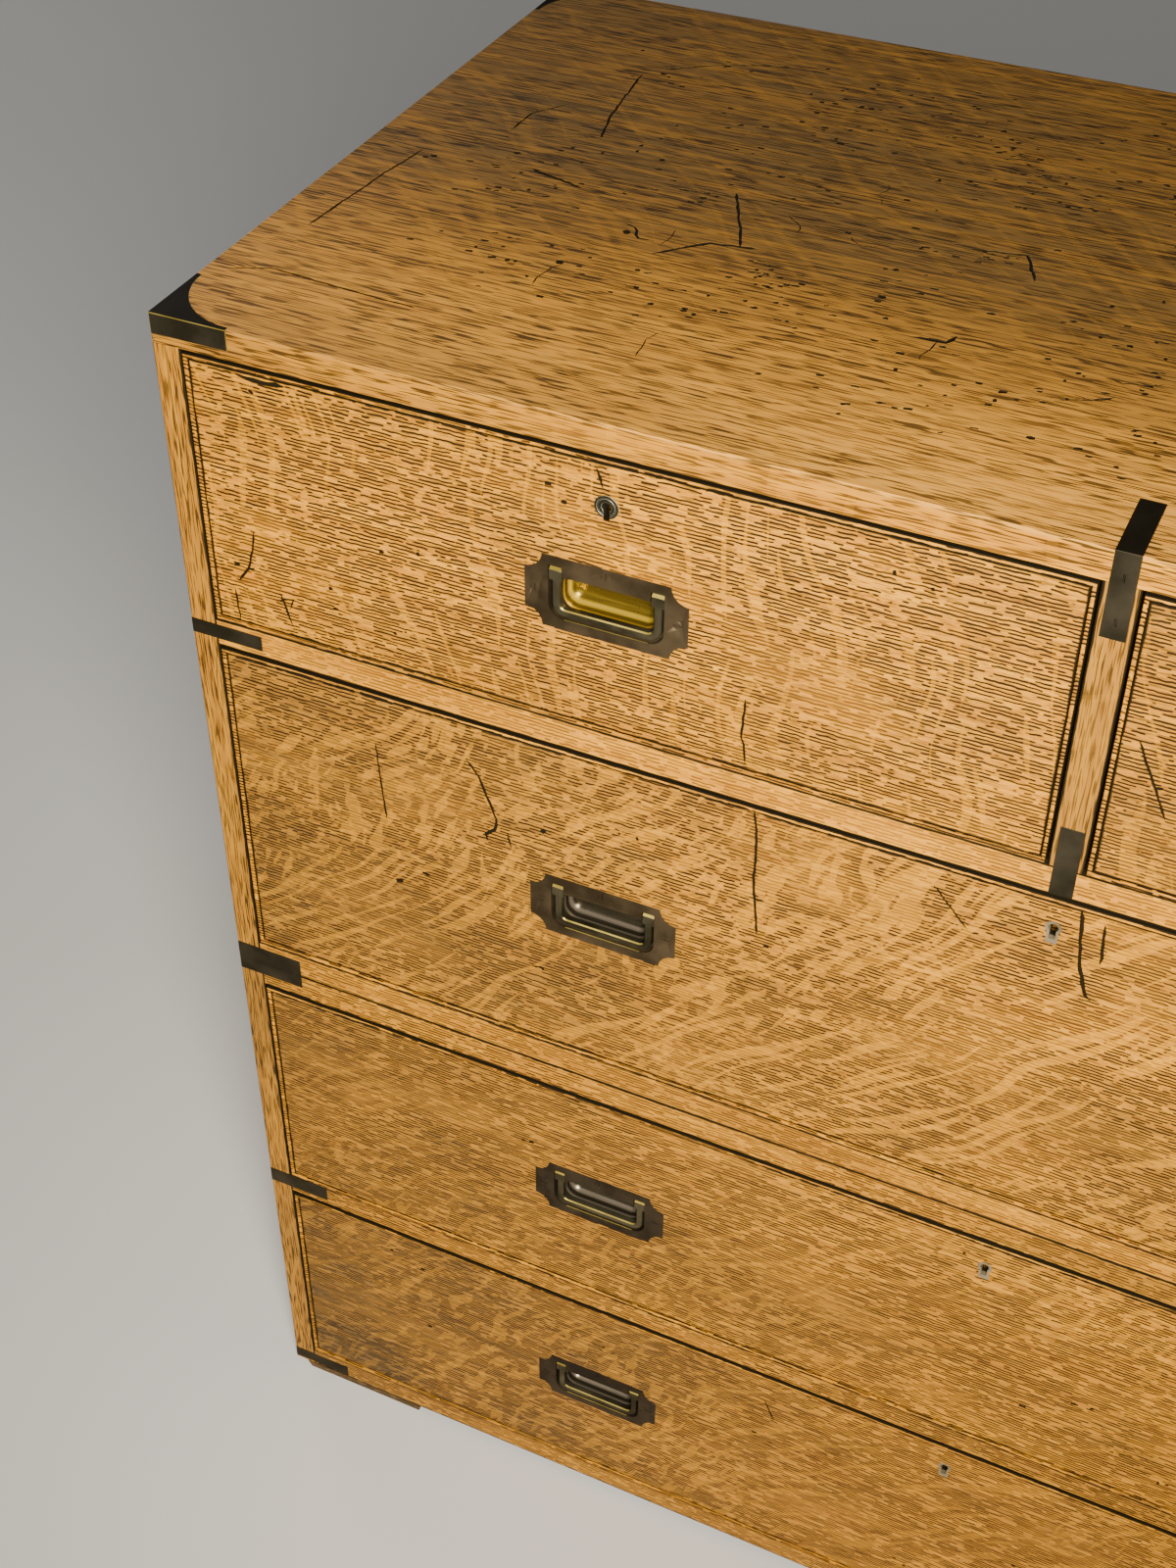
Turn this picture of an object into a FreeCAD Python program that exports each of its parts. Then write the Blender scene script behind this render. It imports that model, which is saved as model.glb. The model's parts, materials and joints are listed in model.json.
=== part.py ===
"""Campaign chest: two stacking cases, five cock-beaded drawers, flush brass, sunk swing handles.

Millimetres, +Z up. X runs across the width, the drawers open towards -Y, and the origin is
the middle of the footprint on the floor. Every driving size is one cell of the spreadsheet.
"""

import FreeCAD, Part
import os
import Sketcher

SIZES = (
    # the two cases
    ("case_width", 992.0, "over the two sides"),
    ("case_depth", 486.0, "from the rails' front to the back panels"),
    ("side_thickness", 16.5, "side boards"),
    ("top_thickness", 17.0, "top board"),
    ("base_thickness", 19.0, "upper case's bottom board"),
    ("lower_top_thickness", 19.0, "lower case's top board"),
    ("bottom_thickness", 18.0, "lower case's bottom board"),
    ("back_thickness", 10.0, "back panels"),
    ("back_rebate", 8.0, "how far the back panels reach into the sides"),
    ("rail_height", 18.0, "rails between the drawers"),
    ("rail_depth", 55.0, "rails between the drawers, front to back"),
    ("dust_thickness", 9.0, "dust boards behind the rails"),
    ("housing_depth", 5.0, "how far the boards are let into the sides"),
    ("housing_stop", 14.0, "where the housings stop behind the front"),
    ("stile_width", 17.5, "upright between the half-width drawers"),
    ("stile_depth", 50.0, "upright between the half-width drawers"),
    ("tenon_length", 6.0, "the upright's tenons"),
    ("tenon_thickness", 6.0, "the upright's tenons"),
    ("tenon_shoulder", 12.0, "the tenons' shoulders, front and back"),
    ("top_row_height", 167.0, "opening of the two half-width drawers"),
    ("second_row_height", 233.0, "opening of the second row"),
    ("third_row_height", 190.0, "opening of the third row"),
    ("bottom_row_height", 189.0, "opening of the bottom row"),
    # what the chest stands on
    ("pad_height", 6.0, "corner pads"),
    ("pad_length", 96.0, "corner pads along the front"),
    ("pad_width", 60.0, "corner pads, front to back"),
    ("pad_inset", 9.5, "from the side face to the corner pads"),
    ("pad_bevel", 3.0, "the pads' bevelled outer ends"),
    # what holds the upper case in place
    ("peg_radius", 8.0, "locating pegs"),
    ("peg_rise", 13.0, "locating pegs above the joint"),
    ("peg_seat", 12.0, "locating pegs below the joint"),
    ("peg_point", 3.0, "the pegs' bevelled ends"),
    ("peg_inset", 62.0, "peg centre from the side, front and back faces"),
    ("peg_clearance", 0.5, "round the pegs in their sockets"),
    # brass let into the cases
    ("brass_thickness", 1.8, "corner brackets and straps"),
    ("bracket_leg", 45.0, "corner brackets along each edge"),
    ("bracket_height", 11.8, "corner brackets down the faces"),
    ("bracket_curve", 42.0, "radius of the brackets' inner curve"),
    ("strap_leg", 45.0, "straps, along each face"),
    ("upper_strap_height", 9.8, "strap at the rail of the upper case"),
    ("lower_strap_height", 13.4, "strap at the rail of the lower case"),
    ("lower_strap_rise", 1.8, "that strap's middle above the rail's"),
    ("joint_strap_above", 13.2, "strap above the joint between the cases"),
    ("joint_strap_below", 10.4, "strap below the joint between the cases"),
    ("foot_strap_height", 10.8, "strap at the foot"),
    ("foot_strap_rise", 1.2, "strap at the foot above the case's underside"),
    ("centre_strap_width", 12.0, "straps on the upright"),
    ("centre_strap_back", 44.3, "centre strap over the top"),
    ("centre_strap_drop", 46.2, "centre strap down the front"),
    ("foot_plate_rise", 25.5, "lower centre strap up the upright"),
    ("foot_plate_margin", 0.6, "lower centre strap above the rail's underside"),
    ("strap_screw_first", 13.7, "upper screw of the centre strap below the top"),
    ("strap_screw_last", 37.3, "lower screw of the centre strap below the top"),
    # drawers
    ("front_thickness", 20.0, "drawer fronts"),
    ("side_gap", 1.3, "drawer to opening, each side"),
    ("top_gap", 1.5, "drawer to opening, above"),
    ("bottom_gap", 0.8, "drawer front to rail, below"),
    ("rear_gap", 0.5, "drawer to back panel"),
    ("bead_thickness", 2.4, "cock beads"),
    ("bead_depth", 7.0, "cock beads behind the front"),
    ("bead_proud", 1.0, "cock beads before the front"),
    ("bead_groove", 0.7, "worn groove inside the beads"),
    ("bead_groove_depth", 1.4, "worn groove inside the beads"),
    ("box_thickness", 9.0, "drawer sides and backs"),
    ("box_drop", 6.0, "drawer sides below the opening's top"),
    ("panel_thickness", 6.0, "drawer bottoms"),
    ("panel_rise", 9.0, "drawer bottoms above the sides' lower edges"),
    ("panel_groove", 4.5, "grooves for the drawer bottoms"),
    ("bead_backing", 1.5, "wood between the cock beads and the dovetails"),
    ("tail_flare", 2.2, "slope of each dovetail's flank"),
    ("pin_width", 6.0, "between the dovetails, at their ends"),
    # sunk handles
    ("handle_offset", 244.0, "handle from the chest's middle"),
    ("top_handle_drop", 2.7, "top row's handles below the drawers' middle"),
    ("plate_width", 88.8, "handle plate"),
    ("plate_height", 43.5, "handle plate"),
    ("plate_thickness", 2.0, "handle plate"),
    ("plate_notch", 9.6, "radius of the plate's hollow corners"),
    ("recess_width", 62.8, "opening for the bail"),
    ("recess_rise", 9.8, "opening's top above the plate's middle"),
    ("recess_fall", 15.6, "opening's foot below the plate's middle"),
    ("recess_radius", 8.5, "opening's lower corners"),
    ("casing_wall", 2.6, "brass round the opening"),
    ("knuckle_width", 7.0, "the bail's knuckles"),
    ("knuckle_side_gap", 0.25, "at each side of a knuckle"),
    ("knuckle_room", 0.8, "above a knuckle, and below it"),
    ("pivot_rise", 10.8, "bail's pivot above the plate's middle"),
    ("pivot_depth", 4.3, "bail's pivot behind the plate's face"),
    ("knuckle_reach", 4.0, "knuckle's flats from the pivot"),
    ("knuckle_bevel", 2.1, "knuckle's bevels"),
    ("pin_radius", 1.6, "the bail's pins"),
    ("pin_length", 1.8, "the bail's pins"),
    ("pin_clearance", 0.05, "round the bail's pins"),
    ("bail_bar", 4.4, "bail, across the bar"),
    ("bail_depth", 4.0, "bail, front to back"),
    ("bail_side_gap", 1.7, "bail to opening, each side"),
    ("bail_foot_gap", 1.4, "bail to opening, below"),
    ("bail_radius", 7.0, "bail's lower corners"),
    ("bail_bevel", 0.9, "bevel on the bail's front edges"),
    ("channel_clearance", 0.4, "behind the bail"),
    ("pan_half_width", 25.4, "finger pan"),
    ("pan_top", 10.2, "pan's top above the plate's middle"),
    ("pan_foot", 11.0, "pan's foot below the plate's middle"),
    ("pan_depth", 14.8, "finger pan behind the plate's face"),
    ("pan_radius", 7.5, "pan's corners"),
    ("pan_sweep", 7.0, "pan's round bottom"),
    ("pan_wall", 1.2, "brass of the pan"),
    ("casing_clearance", 0.4, "wood round the casing and the pan"),
    ("plate_screw_side", 38.6, "side screws from the plate's middle"),
    ("plate_screw_rise", 16.6, "top screw above the plate's middle"),
    ("screw_head_radius", 2.6, "countersunk screws"),
    ("screw_core_radius", 1.3, "countersunk screws"),
    ("screw_length", 11.0, "countersunk screws"),
    ("screw_slot_width", 0.8, "slots in the screws' heads"),
    ("screw_slot_depth", 0.7, "slots in the screws' heads"),
    # locks
    ("lock_width", 50.0, "lock case"),
    ("lock_height", 36.0, "lock case"),
    ("lock_depth", 10.0, "lock case"),
    ("bolt_width", 16.0, "lock bolt"),
    ("bolt_thickness", 4.0, "lock bolt"),
    ("bolt_length", 18.0, "lock bolt"),
    ("bolt_clearance", 0.4, "round the bolt in its case"),
    ("mortice_clearance", 1.0, "round the bolt in its mortice"),
    ("bolt_travel", 7.5, "how far the key throws the bolt"),
    ("key_radius", 2.6, "round part of the keyhole"),
    ("key_slot", 3.4, "slot of the keyhole"),
    ("key_reach", 7.4, "foot of the keyhole below its round part"),
    ("key_depth", 6.0, "keyhole into the lock case"),
    ("escutcheon_wall", 1.7, "brass lining of the keyhole"),
    ("escutcheon_foot", 2.8, "brass below the keyhole"),
    ("escutcheon_depth", 3.0, "brass lining of the keyhole"),
    ("round_escutcheon_radius", 6.5, "top row's round escutcheons"),
    ("escutcheon_ring_radius", 4.6, "ring inside the round escutcheons"),
    ("escutcheon_ring_gap", 0.5, "groove round that ring"),
    ("escutcheon_ring_depth", 0.6, "groove round that ring"),
    ("key_drop_top", 28.5, "keyhole below the top row's opening edge"),
    ("key_drop_second", 21.5, "keyhole below the second row's opening edge"),
    ("key_drop_third", 23.8, "keyhole below the third row's opening edge"),
    ("key_drop_bottom", 24.4, "keyhole below the bottom row's opening edge"),
)

SAME_PLACE = 1e-6  # two coordinates closer than this are the same
TOP_TAILS = 3
SECOND_TAILS = 4
THIRD_TAILS = 3
BOTTOM_TAILS = 3
NOSE_SHARE = 0.45  # the beads' noses keep a flat between their two rounds
SWEEP_SHARE = 0.95  # the pan's bottom is rounded less than its corners
LEG_SHARE = 0.8  # the keyhole lining's wall beside the slot, against the wall round the hole
TURNED_SCREW = "top_left_drawer_plate_screw_left"  # the one side screw whose slot is upright

Vector = FreeCAD.Vector
document = FreeCAD.newDocument("campaign_chest")
nodes = []


class Size:
    """A length that is both its value now and the spreadsheet formula that it comes from."""

    def __init__(self, value, formula):
        self.value = value
        self.formula = formula

    @staticmethod
    def of(other):
        return other if isinstance(other, Size) else Size(float(other), repr(float(other)))

    def joined(self, sign, other, value):
        return Size(value, f"({self.formula} {sign} {other.formula})")

    def __add__(self, other):
        other = Size.of(other)
        return self.joined("+", other, self.value + other.value)

    def __sub__(self, other):
        other = Size.of(other)
        return self.joined("-", other, self.value - other.value)

    def __mul__(self, other):
        other = Size.of(other)
        return self.joined("*", other, self.value * other.value)

    def __truediv__(self, other):
        other = Size.of(other)
        return self.joined("/", other, self.value / other.value)

    def __radd__(self, other):
        return Size.of(other) + self

    def __rsub__(self, other):
        return Size.of(other) - self

    def __rmul__(self, other):
        return Size.of(other) * self

    def __neg__(self):
        return self * -1

    def capped(self, limit):
        """This size, or the limit where that is smaller."""
        return Size(min(self.value, limit.value), f"min({self.formula}; {limit.formula})")


class Driving:
    """The driving dimensions by name, as Size values that read the spreadsheet."""


def write_spreadsheet():
    """Writes each driving dimension into its own cell and returns them by name."""
    sheet = document.addObject("Spreadsheet::Sheet", "sizes")
    driving = Driving()
    for row, (alias, value, meaning) in enumerate(SIZES, start=1):
        sheet.set(f"A{row}", meaning)
        sheet.set(f"B{row}", repr(value))
        sheet.setAlias(f"B{row}", alias)
        setattr(driving, alias, Size(value, f"sizes.{alias}"))
    document.recompute()
    return driving


s = write_spreadsheet()


# ---- ways of making solids ----------------------------------------------------------------


def bind(thing, prop, size):
    """Binds one property of a document object to the sheet."""
    thing.setExpression(prop, Size.of(size).formula)


def place(thing, x=0, y=0, z=0):
    """Binds where a document object stands."""
    for axis, size in (("x", x), ("y", y), ("z", z)):
        bind(thing, f"Placement.Base.{axis}", size)


def box(name, x, y, z):
    """A block between two limits along each axis."""
    block = document.addObject("Part::Box", name)
    for prop, (low, high) in (("Length", x), ("Width", y), ("Height", z)):
        bind(block, prop, high - low)
    place(block, x[0], y[0], z[0])
    return block


UPRIGHT = FreeCAD.Rotation()
INWARD = FreeCAD.Rotation(Vector(1, 0, 0), -90)
SIDEWAYS = FreeCAD.Rotation(Vector(0, 1, 0), 90)


def cylinder(name, start, direction, radius, length):
    """A cylinder from its first end's centre along +Z, +Y or +X."""
    rod = document.addObject("Part::Cylinder", name)
    rod.Placement = FreeCAD.Placement(Vector(), direction)
    bind(rod, "Radius", radius)
    bind(rod, "Height", length)
    place(rod, *start)
    return rod


def cone(name, start, direction, first_radius, last_radius, length):
    """A cone from its first end's centre along +Z, +Y or +X."""
    taper = document.addObject("Part::Cone", name)
    taper.Placement = FreeCAD.Placement(Vector(), direction)
    bind(taper, "Radius1", first_radius)
    bind(taper, "Radius2", last_radius)
    bind(taper, "Height", length)
    place(taper, *start)
    return taper


def fuse(name, parts):
    """The parts joined into one shape."""
    whole = document.addObject("Part::MultiFuse", name)
    whole.Shapes = parts
    whole.Refine = True
    return whole


def cut(name, base, tools):
    """The base less every tool."""
    remainder = document.addObject("Part::Cut", name)
    remainder.Base = base
    remainder.Tool = tools[0] if len(tools) == 1 else fuse(name + "_tools", tools)
    remainder.Refine = True
    return remainder


def together(name, parts):
    """Several separate solids kept side by side in one shape."""
    bundle = document.addObject("Part::Compound", name)
    bundle.Links = parts
    return bundle


def node(label, thing, solids=1):
    """Names a finished piece, with the number of separate solids that it has."""
    thing.Label = label
    nodes.append((label, thing, solids))
    return thing


def origin_plane(body, role):
    """One of a body's own origin planes."""
    return next(p for p in body.Origin.OriginFeatures if p.Role == role)


SKETCH_ORIGIN = (-1, 1)
LINE_START, LINE_END, CENTRE = 1, 2, 3


def pin_value(sketch, kind, curve, end, size):
    """Fixes one coordinate of a curve's end or centre at what the sheet gives."""
    index = sketch.addConstraint(Sketcher.Constraint(kind, *SKETCH_ORIGIN, curve, end, size.value))
    sketch.setExpression(f"Constraints[{index}]", size.formula)


def pin_point(sketch, curve, end, x, y):
    """Fixes one end of a sketch's curve at a place that the sheet gives."""
    pin_value(sketch, "DistanceX", curve, end, x)
    pin_value(sketch, "DistanceY", curve, end, y)


def heading(start, end):
    """The unit direction, along an axis, of a run between two corners."""
    across = end[0].value - start[0].value
    up = end[1].value - start[1].value
    return (0, (up > 0) - (up < 0)) if abs(up) > abs(across) else ((across > 0) - (across < 0), 0)


def corner_stops(corners):
    """Where the outline arrives at each corner and leaves it, and the centre of a rounded one."""
    stops = []
    for i, corner in enumerate(corners):
        if len(corner) == 2:
            stops.append((corner, corner, None))
            continue
        x, y, radius = corner
        before = heading(corners[i - 1], corner)
        after = heading(corner, corners[(i + 1) % len(corners)])
        arrive = (x - radius * before[0], y - radius * before[1])
        leave = (x + radius * after[0], y + radius * after[1])
        stops.append((arrive, leave, (arrive[0] + radius * after[0], arrive[1] + radius * after[1])))
    return stops


def point(place_in_sketch):
    """A pair of sizes as a vector."""
    return Vector(place_in_sketch[0].value, place_in_sketch[1].value)


def join(sketch, curve, end, other_curve, other_end):
    """Makes the ends of two curves of a sketch meet."""
    sketch.addConstraint(Sketcher.Constraint("Coincident", curve, end, other_curve, other_end))


def draw_outline(sketch, corners):
    """A closed outline of straight runs. A corner with a third value is rounded by that radius."""
    stops = corner_stops([tuple(Size.of(value) for value in corner) for corner in corners])
    lines = []
    for i, (_, leave, _) in enumerate(stops):
        arrive = stops[(i + 1) % len(stops)][0]
        lines.append(sketch.addGeometry(Part.LineSegment(point(leave), point(arrive))))
        pin_point(sketch, lines[-1], LINE_END, *arrive)
    for i, (arrive, leave, centre) in enumerate(stops):
        if centre is None:
            join(sketch, lines[i], LINE_START, lines[i - 1], LINE_END)
        else:
            pin_point(sketch, lines[i], LINE_START, *leave)
            draw_bend(sketch, arrive, leave, centre, lines[i - 1], lines[i])


def draw_bend(sketch, arrive, leave, centre, line_before, line_after):
    """The quarter circle that joins two runs at a rounded corner."""
    first, last = point(arrive) - point(centre), point(leave) - point(centre)
    anticlockwise = first.x * last.y - first.y * last.x > 0
    circle = Part.Circle(point(centre), Vector(0, 0, 1), first.Length)
    ends = [circle.parameter(point(stop)) for stop in (arrive, leave)]
    bend = sketch.addGeometry(Part.ArcOfCircle(circle, *(ends if anticlockwise else reversed(ends))))
    near_end, far_end = (LINE_START, LINE_END) if anticlockwise else (LINE_END, LINE_START)
    join(sketch, bend, near_end, line_before, LINE_END)
    join(sketch, bend, far_end, line_after, LINE_START)
    pin_value(sketch, "DistanceX", bend, CENTRE, centre[0])


def pad(name, corners, low, high, role="XZ_Plane"):
    """A PartDesign body: an outline in the XZ plane carried along +Y, or in the YZ plane along +X."""
    body = document.addObject("PartDesign::Body", name)
    sketch = body.newObject("Sketcher::SketchObject", name + "_outline")
    sketch.AttachmentSupport = [(origin_plane(body, role), "")]
    sketch.MapMode = "FlatFace"
    draw_outline(sketch, corners)
    feature = body.newObject("PartDesign::Pad", name + "_pad")
    feature.Profile = sketch
    bind(feature, "Length", high - low)
    feature.Reversed = role == "XZ_Plane"
    if role == "XZ_Plane":
        place(body, y=low)
    else:
        place(body, x=low)
    return body


def dress(body, kind, prop, size, wanted):
    """Rounds (Fillet) or bevels (Chamfer) the body's edges whose pair of ends passes the test."""
    document.recompute()
    base = body.Tip
    names = [
        f"Edge{i}"
        for i, edge in enumerate(base.Shape.Edges, start=1)
        if wanted(edge.Vertexes[0].Point, edge.Vertexes[-1].Point)
    ]
    feature = body.newObject(f"PartDesign::{kind}", f"{body.Name}_{kind.lower()}")
    feature.Base = (base, names)
    bind(feature, prop, size)
    return body


def near(value, size):
    """Whether a coordinate lies where the size says."""
    return abs(value - Size.of(size).value) < SAME_PLACE


# ---- where things stand -------------------------------------------------------------------

half_width = s.case_width / 2
inner_half = half_width - s.side_thickness
stile_half = s.stile_width / 2
front = -(s.case_depth - s.bead_proud) / 2
back = front + s.case_depth
back_face = back - s.back_thickness
rail_back = front + s.rail_depth
inset = s.brass_thickness

underside = s.pad_height
bottom_floor = underside + s.bottom_thickness
bottom_ceiling = bottom_floor + s.bottom_row_height
third_floor = bottom_ceiling + s.rail_height
third_ceiling = third_floor + s.third_row_height
joint = third_ceiling + s.lower_top_thickness
second_floor = joint + s.base_thickness
second_ceiling = second_floor + s.second_row_height
top_floor = second_ceiling + s.rail_height
top_ceiling = top_floor + s.top_row_height
case_top = top_ceiling + s.top_thickness

SIDES = (("left", -1), ("right", 1))
ENDS = (("front", 1), ("rear", -1))


def span(sign, near_size, far_size):
    """The low and high limits of a stretch on the left (-1) or right (1) of the middle."""
    return (-far_size, -near_size) if sign < 0 else (near_size, far_size)


def about(middle, width):
    """The limits of a stretch of this width about its middle."""
    return (middle - width / 2, middle + width / 2)


def from_face(end_sign, near_size, far_size):
    """The same for a stretch measured inwards from the front (1) or from the back (-1)."""
    if end_sign > 0:
        return (front + near_size, front + far_size)
    return (back - far_size, back - near_size)


# ---- brass let into the corners -----------------------------------------------------------


def corner_bracket(name, sign, end_sign):
    """A three-sided corner: a top plate hollowed by a curve, and a leg down each face."""
    leg, thickness = s.bracket_leg, s.brass_thickness
    across = span(sign, half_width - leg, half_width)
    deep = from_face(end_sign, 0, leg)
    low = case_top - s.bracket_height
    plate = box(name + "_plate", across, deep, (case_top - thickness, case_top))
    centre = (sign * (half_width - leg), front + leg if end_sign > 0 else back - leg, case_top - thickness)
    curve = cylinder(name + "_curve", centre, UPRIGHT, s.bracket_curve, thickness)
    face_leg = box(name + "_face_leg", across, from_face(end_sign, 0, thickness), (low, case_top))
    side_leg = box(name + "_side_leg", span(sign, half_width - thickness, half_width), deep, (low, case_top))
    return fuse(name, [cut(name + "_hollowed", plate, [curve]), face_leg, side_leg])


def corner_strap(name, sign, end_sign, low, high):
    """An angle strap wrapped round one upright corner."""
    leg, thickness = s.strap_leg, s.brass_thickness
    across = span(sign, half_width - leg, half_width)
    face_leg = box(name + "_face_leg", across, from_face(end_sign, 0, thickness), (low, high))
    outer = span(sign, half_width - thickness, half_width)
    side_leg = box(name + "_side_leg", outer, from_face(end_sign, 0, leg), (low, high))
    return fuse(name, [face_leg, side_leg])


def strap_set(name, low, high):
    """The same strap at all four corners."""
    return [
        corner_strap(f"{name}_{end}_{side}", sign, end_sign, low, high)
        for end, end_sign in ENDS
        for side, sign in SIDES
    ]


def countersunk_screw(name, start, head_depth, upright):
    """A slotted, flat-headed screw driven towards +Y, and the seat that it fills."""
    x, y, z = start
    radius, core_radius = s.screw_head_radius, s.screw_core_radius
    head = cone(name + "_head", start, INWARD, radius, core_radius, head_depth)
    core_start = (x, y + head_depth, z)
    core = cylinder(name + "_core", core_start, INWARD, core_radius, s.screw_length - head_depth)
    seat = fuse(name + "_seat", [head, core])
    wide, high = (s.screw_slot_width, radius * 2) if upright else (radius * 2, s.screw_slot_width)
    slot = box(name + "_slot", about(x, wide), (y, y + s.screw_slot_depth), about(z, high))
    return cut(name, seat, [slot]), seat


def centre_strap():
    """The angle strap over the top board's edge and down the upright, with its screws and seats."""
    across = about(Size.of(0), s.centre_strap_width)
    deep = (front, front + s.centre_strap_back)
    over = box("centre_strap_over", across, deep, (case_top - inset, case_top))
    low = case_top - s.centre_strap_drop
    down = box("centre_strap_down", across, (front, front + inset), (low, case_top))
    screws, seats = [], []
    for i, drop in enumerate((s.strap_screw_first, s.strap_screw_last), start=1):
        start = (Size.of(0), front, case_top - drop)
        screw, seat = countersunk_screw(f"centre_strap_screw_{i}", start, inset, upright=True)
        screws.append(screw)
        seats.append(seat)
    return cut("centre_strap", fuse("centre_strap_blank", [over, down]), seats), screws, seats


def foot_plates():
    """The two plates at the upright's foot, which meet at the rail's upper edge."""
    across = about(Size.of(0), s.centre_strap_width)
    limits = (
        ("foot_plate_upright", (top_floor, top_floor + s.foot_plate_rise)),
        ("foot_plate_rail", (second_ceiling + s.foot_plate_margin, top_floor)),
    )
    return [box(name, across, (front, front + inset), z) for name, z in limits]


upper_rail_middle = (second_ceiling + top_floor) / 2
lower_rail_middle = (bottom_ceiling + third_floor) / 2 + s.lower_strap_rise
upper_rail_straps = strap_set("upper_rail_strap", *about(upper_rail_middle, s.upper_strap_height))
upper_joint_straps = strap_set("upper_joint_strap", joint, joint + s.joint_strap_above)
lower_joint_straps = strap_set("lower_joint_strap", joint - s.joint_strap_below, joint)
lower_rail_straps = strap_set("lower_rail_strap", *about(lower_rail_middle, s.lower_strap_height))
foot_low = underside + s.foot_strap_rise
foot_straps = strap_set("foot_strap", foot_low, foot_low + s.foot_strap_height)
brackets = [
    corner_bracket(f"bracket_{end}_{side}", sign, end_sign) for end, end_sign in ENDS for side, sign in SIDES
]
top_strap, strap_screws, strap_seats = centre_strap()
plates_at_foot = foot_plates()

node("top_corner_brackets", together("all_brackets", brackets), len(brackets))
upper_corner_brass = upper_rail_straps + upper_joint_straps
upper_brass = upper_corner_brass + [top_strap] + strap_screws + plates_at_foot
node("upper_straps", together("all_upper_straps", upper_brass), len(upper_brass))
lower_brass = lower_joint_straps + lower_rail_straps + foot_straps
node("lower_straps", together("all_lower_straps", lower_brass), len(lower_brass))


# ---- the two cases ------------------------------------------------------------------------


def housed_board(name, low, high, y_high):
    """A board between the sides, with tongues in stopped housings that the front hides."""
    visible = box(name + "_field", (-inner_half, inner_half), (front, y_high), (low, high))
    reach = inner_half + s.housing_depth
    tongues = box(name + "_tongues", (-reach, reach), (front + s.housing_stop, y_high), (low, high))
    return fuse(name + "_blank", [visible, tongues])


def dust_board(name, floor):
    """A thin board level with the rail's upper edge, tongued into the rail and the sides."""
    reach = inner_half + s.housing_depth
    deep = (rail_back - s.housing_depth, back_face)
    return box(name, (-reach, reach), deep, (floor - s.dust_thickness, floor))


def back_panel(name, low, high):
    """A panel in the rebates of the sides."""
    reach = inner_half + s.back_rebate
    return box(name, (-reach, reach), (back_face, back), (low, high))


def bolt_mortice(name, x_middle, ceiling):
    """The mortice above a drawer that its lock's bolt rises into."""
    room = s.mortice_clearance
    middle = front + s.front_thickness - s.lock_depth / 2
    high = ceiling + s.bolt_travel - s.top_gap + room
    deep = about(middle, s.bolt_thickness + room * 2)
    return box(name, about(x_middle, s.bolt_width + room * 2), deep, (ceiling, high))


half_drawer_middle = (inner_half + stile_half) / 2

tenons = box(
    "upright_tenons",
    (-s.tenon_thickness / 2, s.tenon_thickness / 2),
    (front + s.tenon_shoulder, front + s.stile_depth - s.tenon_shoulder),
    (top_floor - s.tenon_length, top_ceiling + s.tenon_length),
)
upright_field = box(
    "upright_field", (-stile_half, stile_half), (front, front + s.stile_depth), (top_floor, top_ceiling)
)
upright_blank = fuse("upright_blank", [upright_field, tenons])
node("centre_stile", cut("upright", upright_blank, [top_strap, plates_at_foot[0]] + strap_seats))
node(
    "centre_partition",
    box("partition", (-stile_half, stile_half), (front + s.stile_depth, back_face), (top_floor, top_ceiling)),
)

top_board_blank = box("top_board_blank", (-half_width, half_width), (front, back), (top_ceiling, case_top))
top_mortices = [
    bolt_mortice(f"top_mortice_{side}", sign * half_drawer_middle, top_ceiling) for side, sign in SIDES
]
node(
    "top_board",
    cut("top_board_cut", top_board_blank, brackets + [top_strap, tenons] + strap_seats + top_mortices),
)

upper_back_blank = back_panel("upper_back_blank", joint, top_ceiling)
lower_back_blank = back_panel("lower_back_blank", underside, joint)
node("upper_back", cut("upper_back_cut", upper_back_blank, upper_corner_brass))
node("lower_back", cut("lower_back_cut", lower_back_blank, lower_brass))

pegs = []
sockets = []
for end, end_sign in ENDS:
    for side, sign in SIDES:
        peg_name = f"peg_{end}_{side}"
        peg_x = sign * (half_width - s.peg_inset)
        peg_y = front + s.peg_inset if end_sign > 0 else back - s.peg_inset
        peg_foot = joint - s.peg_seat
        shank = s.peg_seat + s.peg_rise - s.peg_point
        body = cylinder(peg_name + "_shank", (peg_x, peg_y, peg_foot), UPRIGHT, s.peg_radius, shank)
        tip_start = (peg_x, peg_y, peg_foot + shank)
        tip_radius = s.peg_radius - s.peg_point
        tip = cone(peg_name + "_tip", tip_start, UPRIGHT, s.peg_radius, tip_radius, s.peg_point)
        pegs.append(fuse(peg_name, [body, tip]))
        wide, deep = s.peg_radius + s.peg_clearance, s.peg_rise + s.peg_clearance
        sockets.append(cylinder(peg_name + "_socket", (peg_x, peg_y, joint), UPRIGHT, wide, deep))
node("locating_pegs", together("all_pegs", pegs), len(pegs))

upper_base_blank = housed_board("upper_base", joint, second_floor, back_face)
node("upper_base_board", cut("upper_base_cut", upper_base_blank, upper_joint_straps + sockets))
lower_top_blank = housed_board("lower_top", third_ceiling, joint, back_face)
node(
    "lower_top_board",
    cut(
        "lower_top_cut",
        lower_top_blank,
        lower_joint_straps + pegs + [bolt_mortice("third_mortice", Size.of(0), third_ceiling)],
    ),
)
lower_bottom_blank = housed_board("lower_bottom", underside, bottom_floor, back_face)
node("lower_bottom_board", cut("lower_bottom_cut", lower_bottom_blank, foot_straps))


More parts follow.
